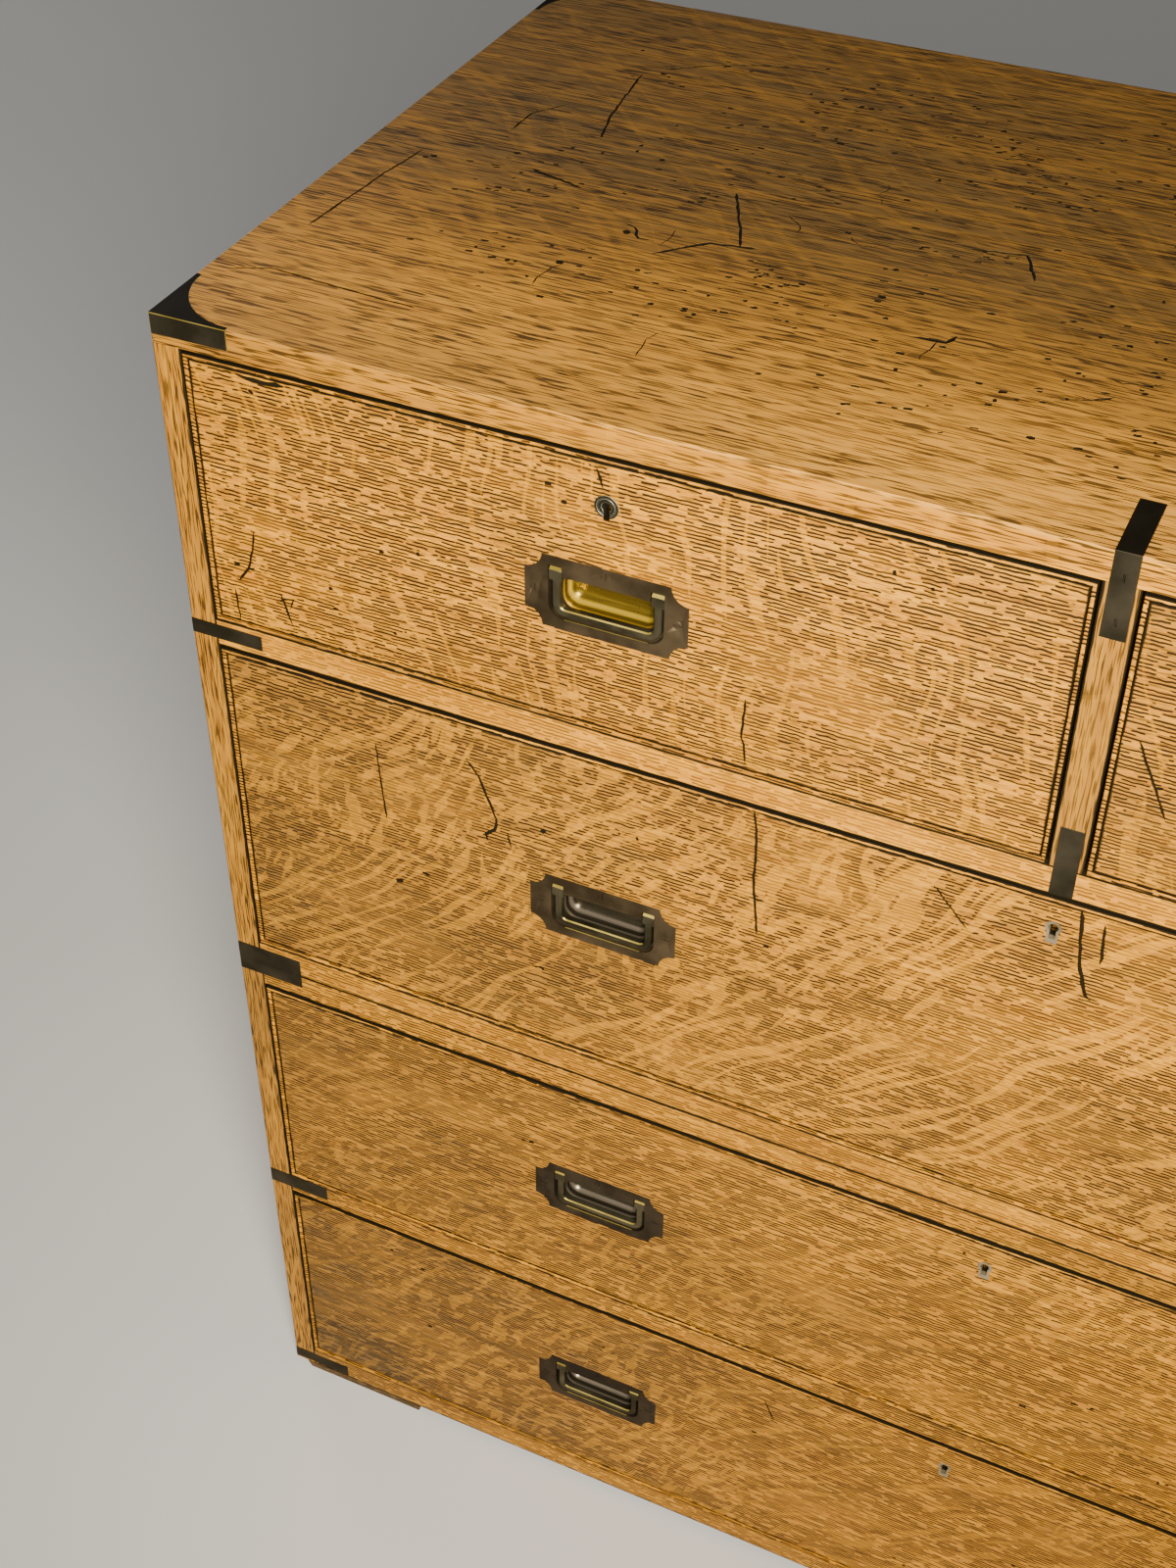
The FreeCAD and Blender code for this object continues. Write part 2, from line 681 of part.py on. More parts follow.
def divider(name, ceiling, floor, straps, extra_tools):
    """A front rail with a dust board behind it."""
    dust = dust_board(name + "_dust_board", floor)
    blank = housed_board(name + "_rail", ceiling, floor, rail_back)
    rail = cut(name + "_rail_cut", blank, [dust] + straps + extra_tools)
    return blank, dust, together(name, [rail, dust])


upper_rail_blank, upper_dust, upper_divider = divider(
    "upper_divider_parts",
    second_ceiling,
    top_floor,
    upper_rail_straps,
    [plates_at_foot[1], tenons, bolt_mortice("second_mortice", Size.of(0), second_ceiling)],
)
node("upper_divider", upper_divider, 2)
lower_rail_blank, lower_dust, lower_divider = divider(
    "lower_divider_parts",
    bottom_ceiling,
    third_floor,
    lower_rail_straps,
    [bolt_mortice("bottom_mortice", Size.of(0), bottom_ceiling)],
)
node("lower_divider", lower_divider, 2)


def side_boards(name, low, high, let_in):
    """The pair of side boards, cut for everything that is let into them."""
    boards = []
    for side, sign in SIDES:
        blank = box(f"{name}_{side}_blank", span(sign, inner_half, half_width), (front, back), (low, high))
        boards.append(cut(f"{name}_{side}", blank, let_in))
    return together(name, boards)


node(
    "upper_sides",
    side_boards(
        "upper_side_boards",
        joint,
        top_ceiling,
        [upper_back_blank, upper_base_blank, upper_rail_blank, upper_dust] + upper_corner_brass,
    ),
    2,
)
node(
    "lower_sides",
    side_boards(
        "lower_side_boards",
        underside,
        joint,
        [lower_back_blank, lower_bottom_blank, lower_rail_blank, lower_dust, lower_top_blank] + lower_brass,
    ),
    2,
)


def corner_pad(name, sign, end_sign):
    """A low block under one corner, bevelled at its outer end."""
    outer = half_width - s.pad_inset
    across = (outer - s.pad_length, outer)
    low, high = from_face(end_sign, 0, s.pad_width)
    corners = [
        (sign * across[0], Size.of(0)),
        (sign * (across[1] - s.pad_bevel), Size.of(0)),
        (sign * across[1], s.pad_height),
        (sign * across[0], s.pad_height),
    ]
    return pad(name, corners, low, high)


pads = [corner_pad(f"pad_{end}_{side}", sign, end_sign) for end, end_sign in ENDS for side, sign in SIDES]
node("corner_pads", together("all_pads", pads), len(pads))


# ---- sunk handles -------------------------------------------------------------------------

recess_half = s.recess_width / 2
plate_half = s.plate_width / 2
plate_half_height = s.plate_height / 2
knuckle_outer = recess_half - s.knuckle_side_gap
knuckle_inner = knuckle_outer - s.knuckle_width
notch_inner = knuckle_inner - s.knuckle_side_gap
notch_reach = s.knuckle_reach + s.knuckle_room
bail_face = s.pivot_depth - s.knuckle_reach
channel_depth = bail_face + s.bail_depth + s.channel_clearance
bail_outer = recess_half - s.bail_side_gap
bail_inner = bail_outer - s.bail_bar
bail_foot = s.recess_fall - s.bail_foot_gap


def around(middle, x, y, z):
    """Limits given from a handle's middle on the plate's face, as limits in the chest's frame."""
    return [tuple(start + limit for limit in limits) for start, limits in zip(middle, (x, y, z))]


def notched_plate(name, middle):
    """The handle plate's outline, with a quarter circle cut out of each corner."""
    x, y, z = middle
    blank = box(
        name + "_blank",
        *around(
            middle, (-plate_half, plate_half), (0, s.plate_thickness), (-plate_half_height, plate_half_height)
        ),
    )
    hollows = [
        cylinder(
            f"{name}_hollow_{i}",
            (x + across * plate_half, y, z + up * plate_half_height),
            INWARD,
            s.plate_notch,
            s.plate_thickness,
        )
        for i, (across, up) in enumerate(((-1, -1), (1, -1), (1, 1), (-1, 1)), start=1)
    ]
    return cut(name, blank, hollows)


def casing_block(name, middle, grow):
    """The cast casing behind the plate, or the room for it in the wood: a tray and two cheeks."""
    wall = s.casing_wall + grow
    half = recess_half + wall
    depth = channel_depth + s.pan_wall + grow
    tray_heights = (-(s.recess_fall + wall), s.recess_rise + wall)
    cheek_heights = (s.pivot_rise - notch_reach - wall, s.pivot_rise + notch_reach + wall)
    cheek_depth = s.pivot_depth + notch_reach + s.pan_wall + grow
    blocks = [box(name + "_tray", *around(middle, (-half, half), (0, depth), tray_heights))]
    for side, sign in SIDES:
        across = span(sign, notch_inner - wall, half)
        blocks.append(box(f"{name}_cheek_{side}", *around(middle, across, (0, cheek_depth), cheek_heights)))
    return fuse(name, blocks)


def pan_block(name, middle, grow):
    """The finger pan's hollow, grown by its wall or by the room for it in the wood."""
    half, low, high = s.pan_half_width + grow, s.pan_foot + grow, s.pan_top + grow
    radius, depth = s.pan_radius + grow, s.pan_depth + grow
    corners = [(-half, -low, radius), (half, -low, radius), (half, high, radius), (-half, high, radius)]
    body = pad(name, corners, Size.of(0), depth)
    sweep = s.pan_sweep.capped(s.pan_radius * SWEEP_SHARE) + grow
    dress(body, "Fillet", "Radius", sweep, lambda one, other: near(one.y, depth) and near(other.y, depth))
    place(body, *middle)
    return body


def bail_recess(name, middle):
    """The opening in the plate that the bail lies in."""
    corners = [
        (-recess_half, -s.recess_fall, s.recess_radius),
        (recess_half, -s.recess_fall, s.recess_radius),
        (recess_half, s.recess_rise),
        (-recess_half, s.recess_rise),
    ]
    body = pad(name, corners, Size.of(0), channel_depth)
    place(body, *middle)
    return body


def plate_screws(name, middle):
    """The screws that hold a plate, one above the bail and one at each side, and their seats."""
    x, y, z = middle
    places = (
        ("left", -s.plate_screw_side, Size.of(0)),
        ("right", s.plate_screw_side, Size.of(0)),
        ("top", Size.of(0), s.plate_screw_rise),
    )
    screws, seats = [], []
    for where, across, up in places:
        screw_name = f"{name}_screw_{where}"
        upright = where == "top" or screw_name == TURNED_SCREW
        start = (x + across, y, z + up)
        screw, seat = countersunk_screw(screw_name, start, s.plate_thickness, upright)
        screws.append(screw)
        seats.append(seat)
    return screws, seats


def handle_plate(name, middle):
    """A cast plate with the bail's recess, the finger pan and the pins' bores, and its screws.

    With them come the solids that the drawer's front loses for the plate and for the screws.
    """
    x, y, z = middle
    outline = notched_plate(name + "_outline", middle)
    casing = casing_block(name + "_casing", middle, Size.of(0))
    pan_wall = pan_block(name + "_pan_wall", middle, s.pan_wall)
    solid = fuse(name + "_cast", [outline, casing, pan_wall])
    tools = [bail_recess(name + "_recess", middle), pan_block(name + "_pan", middle, Size.of(0))]
    notch_heights = (s.pivot_rise - notch_reach, s.pivot_rise + notch_reach)
    bore_end = knuckle_outer + s.pin_length + s.knuckle_side_gap
    for side, sign in SIDES:
        across = span(sign, notch_inner, recess_half)
        depths = (0, s.pivot_depth + notch_reach)
        tools.append(box(f"{name}_notch_{side}", *around(middle, across, depths, notch_heights)))
        bore_low, bore_high = span(sign, knuckle_inner, bore_end)
        tools.append(
            cylinder(
                f"{name}_bore_{side}",
                (x + bore_low, y + s.pivot_depth, z + s.pivot_rise),
                SIDEWAYS,
                s.pin_radius + s.pin_clearance,
                bore_high - bore_low,
            )
        )
    screws, seats = plate_screws(name, middle)
    return [cut(name, solid, tools + seats)] + screws, [outline] + seats


def casing_rooms(name, middle):
    """What the drawer's front loses behind the plate, with a little room all round."""
    room = s.casing_clearance
    casing = casing_block(name + "_casing_room", middle, room)
    return [casing, pan_block(name + "_pan_room", middle, s.pan_wall + room)]


def bail(name, middle):
    """The swinging handle: a U-shaped bar with a bevelled knuckle and a pin at each upper end.

    Each knuckle is bevelled where its corner would meet the notch as the bail swings. Its lower
    front corner swings in the open and stays square.
    """
    x, y, z = middle
    reach, bevel = s.knuckle_reach, s.knuckle_bevel
    inner_radius = s.bail_radius - s.bail_bar + s.bail_bevel
    corners = [
        (-bail_outer, s.pivot_rise),
        (-bail_outer, -bail_foot, s.bail_radius),
        (bail_outer, -bail_foot, s.bail_radius),
        (bail_outer, s.pivot_rise),
        (bail_inner, s.pivot_rise),
        (bail_inner, -bail_foot + s.bail_bar, inner_radius),
        (-bail_inner, -bail_foot + s.bail_bar, inner_radius),
        (-bail_inner, s.pivot_rise),
    ]
    bar = pad(name + "_bar", corners, Size.of(0), s.bail_depth)

    def along_front(one, other):
        at_front = near(one.y, 0) and near(other.y, 0)
        return at_front and not (near(one.z, s.pivot_rise) and near(other.z, s.pivot_rise))

    dress(bar, "Chamfer", "Size", s.bail_bevel, along_front)
    place(bar, x, y + bail_face, z)
    parts = [bar]
    flat = reach - bevel
    section = [
        (s.pivot_depth + deep, s.pivot_rise + up)
        for deep, up in (
            (-reach, -reach),
            (-reach, flat),
            (-flat, reach),
            (flat, reach),
            (reach, flat),
            (reach, -flat),
            (flat, -reach),
        )
    ]
    for side, sign in SIDES:
        low, high = span(sign, knuckle_inner, knuckle_outer)
        knuckle = pad(f"{name}_knuckle_{side}", section, low, high, "YZ_Plane")
        place(knuckle, x + low, y, z)
        pin_low, pin_high = span(sign, knuckle_inner, knuckle_outer + s.pin_length)
        pin_start = (x + pin_low, y + s.pivot_depth, z + s.pivot_rise)
        pin = cylinder(f"{name}_pin_{side}", pin_start, SIDEWAYS, s.pin_radius, pin_high - pin_low)
        parts += [knuckle, pin]
    return fuse(name, parts)


# ---- drawers ------------------------------------------------------------------------------


def shrunk(limits, by):
    """Limits drawn in by the same amount at both ends."""
    return (limits[0] + by, limits[1] - by)


def ring(name, x, z, outer, inner, y):
    """A rectangular ring between two insets of an outline."""
    whole = box(name + "_outer", shrunk(x, outer), y, shrunk(z, outer))
    return cut(name, whole, [box(name + "_inner", shrunk(x, inner), y, shrunk(z, inner))])


def bead_strips(name, x, z):
    """Four mitred strips with rounded noses round a drawer front."""
    thick = s.bead_thickness
    nose = s.bead_proud.capped(thick * NOSE_SHARE)
    inner_x, inner_z = shrunk(x, thick), shrunk(z, thick)
    outer = ((x[0], z[0]), (x[1], z[0]), (x[1], z[1]), (x[0], z[1]))
    inner = (
        (inner_x[0], inner_z[0]),
        (inner_x[1], inner_z[0]),
        (inner_x[1], inner_z[1]),
        (inner_x[0], inner_z[1]),
    )
    strips = []
    for i, where in enumerate(("foot", "right", "head", "left")):
        following = (i + 1) % len(outer)
        corners = [outer[i], outer[following], inner[following], inner[i]]
        strip = pad(f"{name}_{where}", corners, front - s.bead_proud, front + s.bead_depth)
        upright = where in ("left", "right")

        def along_nose(one, other):
            level = near(one.x, other.x) if upright else near(one.z, other.z)
            return near(one.y, 0) and near(other.y, 0) and level

        strips.append(dress(strip, "Fillet", "Radius", nose, along_nose))
    return strips


def tail(name, x, shoulder, tip, low, high):
    """One dovetail between two heights at its tip, narrower at its shoulder."""
    wedge = document.addObject("Part::Wedge", name)
    first_is_tip = tip.value < shoulder.value
    narrow = (low + s.tail_flare, high - s.tail_flare)
    y = (tip, shoulder) if first_is_tip else (shoulder, tip)
    z = ((low, high), narrow) if first_is_tip else (narrow, (low, high))
    for prop, size in (
        ("Xmin", x[0]),
        ("Xmax", x[1]),
        ("X2min", x[0]),
        ("X2max", x[1]),
        ("Ymin", y[0]),
        ("Ymax", y[1]),
        ("Zmin", z[0][0]),
        ("Zmax", z[0][1]),
        ("Z2min", z[1][0]),
        ("Z2max", z[1][1]),
    ):
        bind(wedge, prop, size)
    return wedge


def tails(name, x, shoulder, tip, low, high, count):
    """Evenly spaced dovetails up one corner of a drawer box."""
    pitch = (high - low) / count
    return [
        tail(
            f"{name}_{i + 1}",
            x,
            shoulder,
            tip,
            low + pitch * i + s.pin_width / 2,
            low + pitch * (i + 1) - s.pin_width / 2,
        )
        for i in range(count)
    ]


def keyhole(name, x, z, y):
    """A round hole with a slot below it, between two depths."""
    half_slot = s.key_slot / 2
    round_part = cylinder(name + "_round", (x, y[0], z), INWARD, s.key_radius, y[1] - y[0])
    slot = box(name + "_slot", (x - half_slot, x + half_slot), y, (z - s.key_reach, z))
    return fuse(name, [round_part, slot])


def ring_groove(name, x, z):
    """The groove round the raised ring of a round escutcheon."""
    radius, y = s.escutcheon_ring_radius, front
    outer_radius = radius + s.escutcheon_ring_gap
    outer = cylinder(name + "_outer", (x, y, z), INWARD, outer_radius, s.escutcheon_ring_depth)
    inner = cylinder(name + "_inner", (x, y, z), INWARD, radius, s.escutcheon_ring_depth)
    return cut(name, outer, [inner])


def escutcheon_outline(name, x, z, is_round):
    """The brass lining's outline: a disc, or a keyhole one wall wider."""
    y = (front, front + s.escutcheon_depth)
    if is_round:
        return cylinder(name, (x, y[0], z), INWARD, s.round_escutcheon_radius, y[1] - y[0])
    half = s.key_slot / 2 + s.escutcheon_wall * LEG_SHARE
    disc = cylinder(name + "_disc", (x, y[0], z), INWARD, s.key_radius + s.escutcheon_wall, y[1] - y[0])
    leg = box(name + "_leg", (x - half, x + half), y, (z - s.key_reach - s.escutcheon_foot, z))
    return fuse(name, [disc, leg])


def lock(name, x, z_top, z_key, is_round):
    """The lock's case, its bolt, the brass lining of the keyhole, and what the front loses."""
    inner_face = front + s.front_thickness
    depths = (inner_face - s.lock_depth, inner_face)
    middle = (depths[0] + depths[1]) / 2
    blank = box(name + "_blank", about(x, s.lock_width), depths, (z_top - s.lock_height, z_top))
    heights = (z_top - s.bolt_length, z_top)
    bolt = box(name + "_bolt", about(x, s.bolt_width), about(middle, s.bolt_thickness), heights)
    play = s.bolt_clearance * 2
    room_across, room_deep = about(x, s.bolt_width + play), about(middle, s.bolt_thickness + play)
    room = box(name + "_bolt_room", room_across, room_deep, heights)
    hole = keyhole(name + "_keyhole", x, z_key, (front, depths[0] + s.key_depth))
    outline = escutcheon_outline(name + "_lining_outline", x, z_key, is_round)
    case = cut(name + "_case", blank, [room, hole])
    groove = [ring_groove(name + "_ring_groove", x, z_key)] if is_round else []
    lining = cut(name + "_lining", outline, [hole] + groove)
    return [case, lining], bolt, [blank, outline, hole]


def drawer(name, x_limits, heights, handle_names, handle_middles, key_drop, tail_count, round_lining=False):
    """One drawer: dovetailed box, grooved-in bottom, beaded front, lock and sunk handles."""
    floor, ceiling = heights
    x = shrunk(x_limits, s.side_gap)
    z = (floor + s.bottom_gap, ceiling - s.top_gap)
    inner_face = front + s.front_thickness
    rear = back_face - s.rear_gap
    box_top = ceiling - s.box_drop
    panel_heights = (floor + s.panel_rise, floor + s.panel_rise + s.panel_thickness)
    boards = {"left": (x[0], x[0] + s.box_thickness), "right": (x[1] - s.box_thickness, x[1])}

    panel = box(
        name + "_panel",
        shrunk(x, s.box_thickness - s.panel_groove),
        (inner_face - s.panel_groove, rear),
        panel_heights,
    )
    front_tails, rear_tails = {}, {}
    rear_shoulder = rear - s.box_thickness
    tail_tip = front + s.bead_depth + s.bead_backing
    for side, across in boards.items():
        front_tails[side] = tails(
            f"{name}_front_tail_{side}", across, inner_face, tail_tip, floor, box_top, tail_count
        )
        rear_tails[side] = tails(
            f"{name}_rear_tail_{side}", across, rear_shoulder, rear, panel_heights[1], box_top, tail_count
        )
    back_blank = box(name + "_back_blank", x, (rear_shoulder, rear), (panel_heights[1], box_top))
    back_board = cut(name + "_back", back_blank, rear_tails["left"] + rear_tails["right"])
    side_pair = []
    for side, across in boards.items():
        plain = box(f"{name}_{side}_plain", across, (inner_face, rear), (floor, box_top))
        tailed = fuse(f"{name}_{side}_tailed", [plain] + front_tails[side])
        side_pair.append(cut(f"{name}_{side}", tailed, [back_board, panel]))
    node(name + "_box", together(name + "_box_parts", side_pair + [back_board]), len(side_pair) + 1)
    node(name + "_bottom", panel)

    lock_x = (x_limits[0] + x_limits[1]) / 2
    lock_parts, bolt, lock_tools = lock(name + "_lock_parts", lock_x, z[1], ceiling - key_drop, round_lining)
    node(name + "_lock", together(name + "_lock_pair", lock_parts), len(lock_parts))
    node(name + "_lock_bolt", bolt)

    front_tools = [
        ring(name + "_rebate", x, z, Size.of(0), s.bead_thickness, (front, front + s.bead_depth)),
        ring(
            name + "_groove",
            x,
            z,
            s.bead_thickness,
            s.bead_thickness + s.bead_groove,
            (front, front + s.bead_groove_depth),
        ),
        panel,
    ]
    front_tools += front_tails["left"] + front_tails["right"] + lock_tools
    plates = []
    for handle_name, middle in zip(handle_names, handle_middles):
        plate_and_screws, seats = handle_plate(handle_name + "_plate", middle)
        plates += plate_and_screws
        front_tools += casing_rooms(handle_name, middle) + seats
        node(handle_name + "_bail", bail(handle_name + "_bail_parts", middle))
    plural = "s" if len(handle_names) > 1 else ""
    node(f"{name}_handle_plate{plural}", together(name + "_plates", plates), len(plates))

    blank = box(name + "_front_blank", x, (front, inner_face), z)
    node(name + "_front", cut(name + "_front_cut", blank, front_tools))
    beads = bead_strips(name + "_bead", x, z)
    node(name + "_cock_beads", together(name + "_beads", beads), len(beads))


top_middle = (top_floor + top_ceiling) / 2 - s.top_handle_drop
for side, sign in SIDES:
    name = f"top_{side}_drawer"
    drawer(
        name,
        span(sign, stile_half, inner_half),
        (top_floor, top_ceiling),
        [name],
        [(sign * s.handle_offset, front, top_middle)],
        s.key_drop_top,
        TOP_TAILS,
        round_lining=True,
    )
for name, floor, ceiling, key_drop, tail_count in (
    ("second_drawer", second_floor, second_ceiling, s.key_drop_second, SECOND_TAILS),
    ("third_drawer", third_floor, third_ceiling, s.key_drop_third, THIRD_TAILS),
    ("bottom_drawer", bottom_floor, bottom_ceiling, s.key_drop_bottom, BOTTOM_TAILS),
):
    middle_height = (floor + ceiling) / 2
    drawer(
        name,
        (-inner_half, inner_half),
        (floor, ceiling),
        [f"{name}_{side}" for side, _ in SIDES],
        [(sign * s.handle_offset, front, middle_height) for _, sign in SIDES],
        key_drop,
        tail_count,
    )


# ---- the check, and the files -------------------------------------------------------------


def check():
    """Stops with the names of what failed, before anything is written."""
    document.recompute()
    failed = [o.Name for o in document.Objects if {"Invalid", "Error"} & set(o.State)]
    faults = [f"{name} failed" for name in failed]
    for label, thing, solids in nodes:
        shape = thing.Shape
        if shape.isNull() or not shape.isValid():
            faults.append(f"{label} has no valid shape")
        elif len(shape.Solids) != solids:
            faults.append(f"{label} has {len(shape.Solids)} solids, not {solids}")
    if faults:
        raise RuntimeError("; ".join(faults))


check()
os.makedirs("parts", exist_ok=True)
for label, thing, _ in nodes:
    thing.Shape.exportStep(f"parts/{label}.step")
print(f"{len(nodes)} nodes, {sum(len(thing.Shape.Solids) for _, thing, _ in nodes)} solids")
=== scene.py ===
# %% [markdown]
# # An old oak campaign chest
# The frame holds every board, drawer and fitting at its real size, in metres, with +Z up and the
# drawers opening towards -Y. The lesson gives each of them the finish that years of use have left,
# softens the arrises that hands have worn, and lights the whole plainly.

# %% Load the frame
import json
import math

import bmesh
import bpy
import numpy as np
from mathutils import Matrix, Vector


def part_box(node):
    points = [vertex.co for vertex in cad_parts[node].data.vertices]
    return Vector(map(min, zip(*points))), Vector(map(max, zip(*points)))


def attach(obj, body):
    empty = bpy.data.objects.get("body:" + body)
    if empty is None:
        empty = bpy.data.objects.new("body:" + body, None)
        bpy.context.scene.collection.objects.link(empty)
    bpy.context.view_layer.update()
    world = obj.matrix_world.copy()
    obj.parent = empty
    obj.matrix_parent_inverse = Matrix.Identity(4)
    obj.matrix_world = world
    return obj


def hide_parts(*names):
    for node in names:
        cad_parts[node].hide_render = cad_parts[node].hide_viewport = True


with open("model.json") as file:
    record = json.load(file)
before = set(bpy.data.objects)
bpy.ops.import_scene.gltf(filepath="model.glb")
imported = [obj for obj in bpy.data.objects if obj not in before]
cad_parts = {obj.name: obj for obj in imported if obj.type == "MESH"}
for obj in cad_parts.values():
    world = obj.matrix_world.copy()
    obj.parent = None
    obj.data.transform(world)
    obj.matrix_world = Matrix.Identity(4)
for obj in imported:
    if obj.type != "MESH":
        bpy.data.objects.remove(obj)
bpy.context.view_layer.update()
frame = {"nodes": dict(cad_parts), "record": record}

nodes = frame["nodes"]
bodies = frame["record"]["behaviour"]["bodies"]
body_of_node = {name: body for body, names in bodies.items() for name in names}
MM = 0.001
lowest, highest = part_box("top_board")  # single precision, so its corners are rounded
FRONT = round(lowest.y, 4)  # the plane of the drawer fronts and the rails
TOP = round(highest.z, 4)
SIDE = round(highest.x, 4)
print("front, side and top at", FRONT, SIDE, TOP)

# %% [markdown]
# ## Numbers that vary over a surface
# A finish is arithmetic on numbers that differ from place to place. Wiring Math nodes by hand hides
# that arithmetic, so one small class wraps a socket and lets Python's own operators add the nodes.


# %% Arithmetic on sockets
class Spread:
    """A number that varies over a surface: one output socket, with Python's arithmetic on it."""

    def __init__(self, finish, socket):
        self.finish = finish
        self.socket = socket

    def __add__(self, other):
        return self.finish.maths("ADD", self, other)

    def __sub__(self, other):
        return self.finish.maths("SUBTRACT", self, other)

    def __mul__(self, other):
        return self.finish.maths("MULTIPLY", self, other)

    def __truediv__(self, other):
        return self.finish.maths("DIVIDE", self, other)

    def __radd__(self, other):
        return self.finish.maths("ADD", other, self)

    def __rsub__(self, other):
        return self.finish.maths("SUBTRACT", other, self)

    def __rmul__(self, other):
        return self.finish.maths("MULTIPLY", other, self)

    def __abs__(self):
        return self.finish.maths("ABSOLUTE", self)

    def at_least(self, other):
        return self.finish.maths("MAXIMUM", self, other)

    def at_most(self, other):
        return self.finish.maths("MINIMUM", self, other)

    def step(self, low, high):
        """0 below low, 1 above high, and a smooth S between them."""
        settings = {"interpolation_type": "SMOOTHSTEP"}
        return self.finish.add("ShaderNodeMapRange", settings, {0: self, 1: low, 2: high, 3: 0.0, 4: 1.0})


# %% [markdown]
# ## A finish
# One method adds any node: its type, its settings, then what goes into its sockets. Everything that
# follows is built from it. Positions come from Object coordinates, because every piece's object sits
# at the origin, so a place on the chest is the same number in every material.


# %% The workbench for one material
class Finish:
    """One material under construction."""

    def __init__(self, name):
        self.material = bpy.data.materials.new(name)
        self.material.use_nodes = True
        self.tree = self.material.node_tree
        self.tree.nodes.clear()
        self.place = self.add("ShaderNodeTexCoord", {}, {}, output="Object")
        split = self.add("ShaderNodeSeparateXYZ", {}, {0: self.place})
        self.x, self.y, self.z = (Spread(self, socket) for socket in split.socket.node.outputs)

    def add(self, kind, settings, inputs, output=0):
        """Adds a node, sets it, fills its sockets with numbers or links, and returns an output."""
        node = self.tree.nodes.new(kind)
        for setting, value in settings.items():
            setattr(node, setting, value)
        for key, value in inputs.items():
            if isinstance(value, Spread):
                self.tree.links.new(value.socket, node.inputs[key])
            else:
                node.inputs[key].default_value = value
        return Spread(self, node.outputs[output])

    def maths(self, operation, *values):
        return self.add("ShaderNodeMath", {"operation": operation}, dict(enumerate(values)))

    def vector(self, operation, *values):
        return self.add("ShaderNodeVectorMath", {"operation": operation}, dict(enumerate(values)))

    def point(self, x, y, z):
        return self.add("ShaderNodeCombineXYZ", {}, {0: x, 1: y, 2: z})

    def noise(self, vector, detail=2.0):
        return self.add("ShaderNodeTexNoise", {}, {"Vector": vector, "Scale": 1.0, "Detail": detail})

    def cloud(self, waves, shift, detail=3.0):
        """Even noise with so many waves a metre."""
        return self.noise(self.vector("MULTIPLY_ADD", self.place, (waves,) * 3, (shift,) * 3), detail)

    def blend(self, share, first, second):
        """A colour between two colours."""
        settings = {"data_type": "RGBA", "clamp_factor": True}
        pair = [value if isinstance(value, Spread) else (*value, 1.0) for value in (first, second)]
        return self.add("ShaderNodeMix", settings, {0: share, 6: pair[0], 7: pair[1]}, output=2)

    def bump(self, height, distance, strength):
        return self.add("ShaderNodeBump", {}, {"Height": height, "Distance": distance, "Strength": strength})

    def close(self, **sockets):
        """Ends the material with one Principled shader."""
        inputs = {name.replace("_", " "): value for name, value in sockets.items()}
        shader = self.add("ShaderNodeBsdfPrincipled", {}, inputs)
        output = self.tree.nodes.new("ShaderNodeOutputMaterial")
        self.tree.links.new(shader.socket, output.inputs["Surface"])
        return self.material


# %% [markdown]
# ## The camera, the floor and the light
# The chest is seen from above, a little right of its middle, so its top and its front show and its
# left edge stands free. The main lamp hangs close in front, on the right. Its cone is aimed at the
# upper drawers, so the light thins out down the front and across the top. Two low suns behind keep
# the back and the right side from going black.

# %% Camera
camera = bpy.data.objects.new("chest_camera", bpy.data.cameras.new("chest_camera"))
camera.location = (0.1086, -1.0297, 1.4162)
camera.rotation_euler = (0.86107, -0.00378, 0.43385)
bpy.context.scene.collection.objects.link(camera)
camera.data.sensor_width = 36.0
camera.data.lens = 49.47
camera.data.clip_start = 0.01
bpy.context.scene.camera = camera
print("camera at", tuple(camera.location))

# %% Floor
corners = [(-6.0, -6.0, 0.0), (6.0, -6.0, 0.0), (6.0, 6.0, 0.0), (-6.0, 6.0, 0.0)]
floor_mesh = bpy.data.meshes.new("pale_floor")
floor_mesh.from_pydata(corners, [], [(0, 1, 2, 3)])
floor = bpy.data.objects.new("pale_floor", floor_mesh)
bpy.context.scene.collection.objects.link(floor)
paint = Finish("floor_paint")
floor_mesh.materials.append(
    paint.close(Base_Color=(0.78, 0.78, 0.76, 1.0), Roughness=0.6 + 0.1 * paint.cloud(3.0, 0.0))
)


# %% Lamps
def lamp(name, kind, position, target, power, **settings):
    """A lamp that faces a point: tilted up from straight down, then turned to the point's bearing."""
    light = bpy.data.objects.new(name, bpy.data.lights.new(name, kind))
    light.data.energy = power
    for setting, value in settings.items():
        setattr(light.data, setting, value)
    light.location = position
    across, deep, up = np.subtract(target, position)
    light.rotation_euler = (math.atan2(math.hypot(across, deep), -up), 0.0, math.atan2(-across, deep))
    bpy.context.scene.collection.objects.link(light)


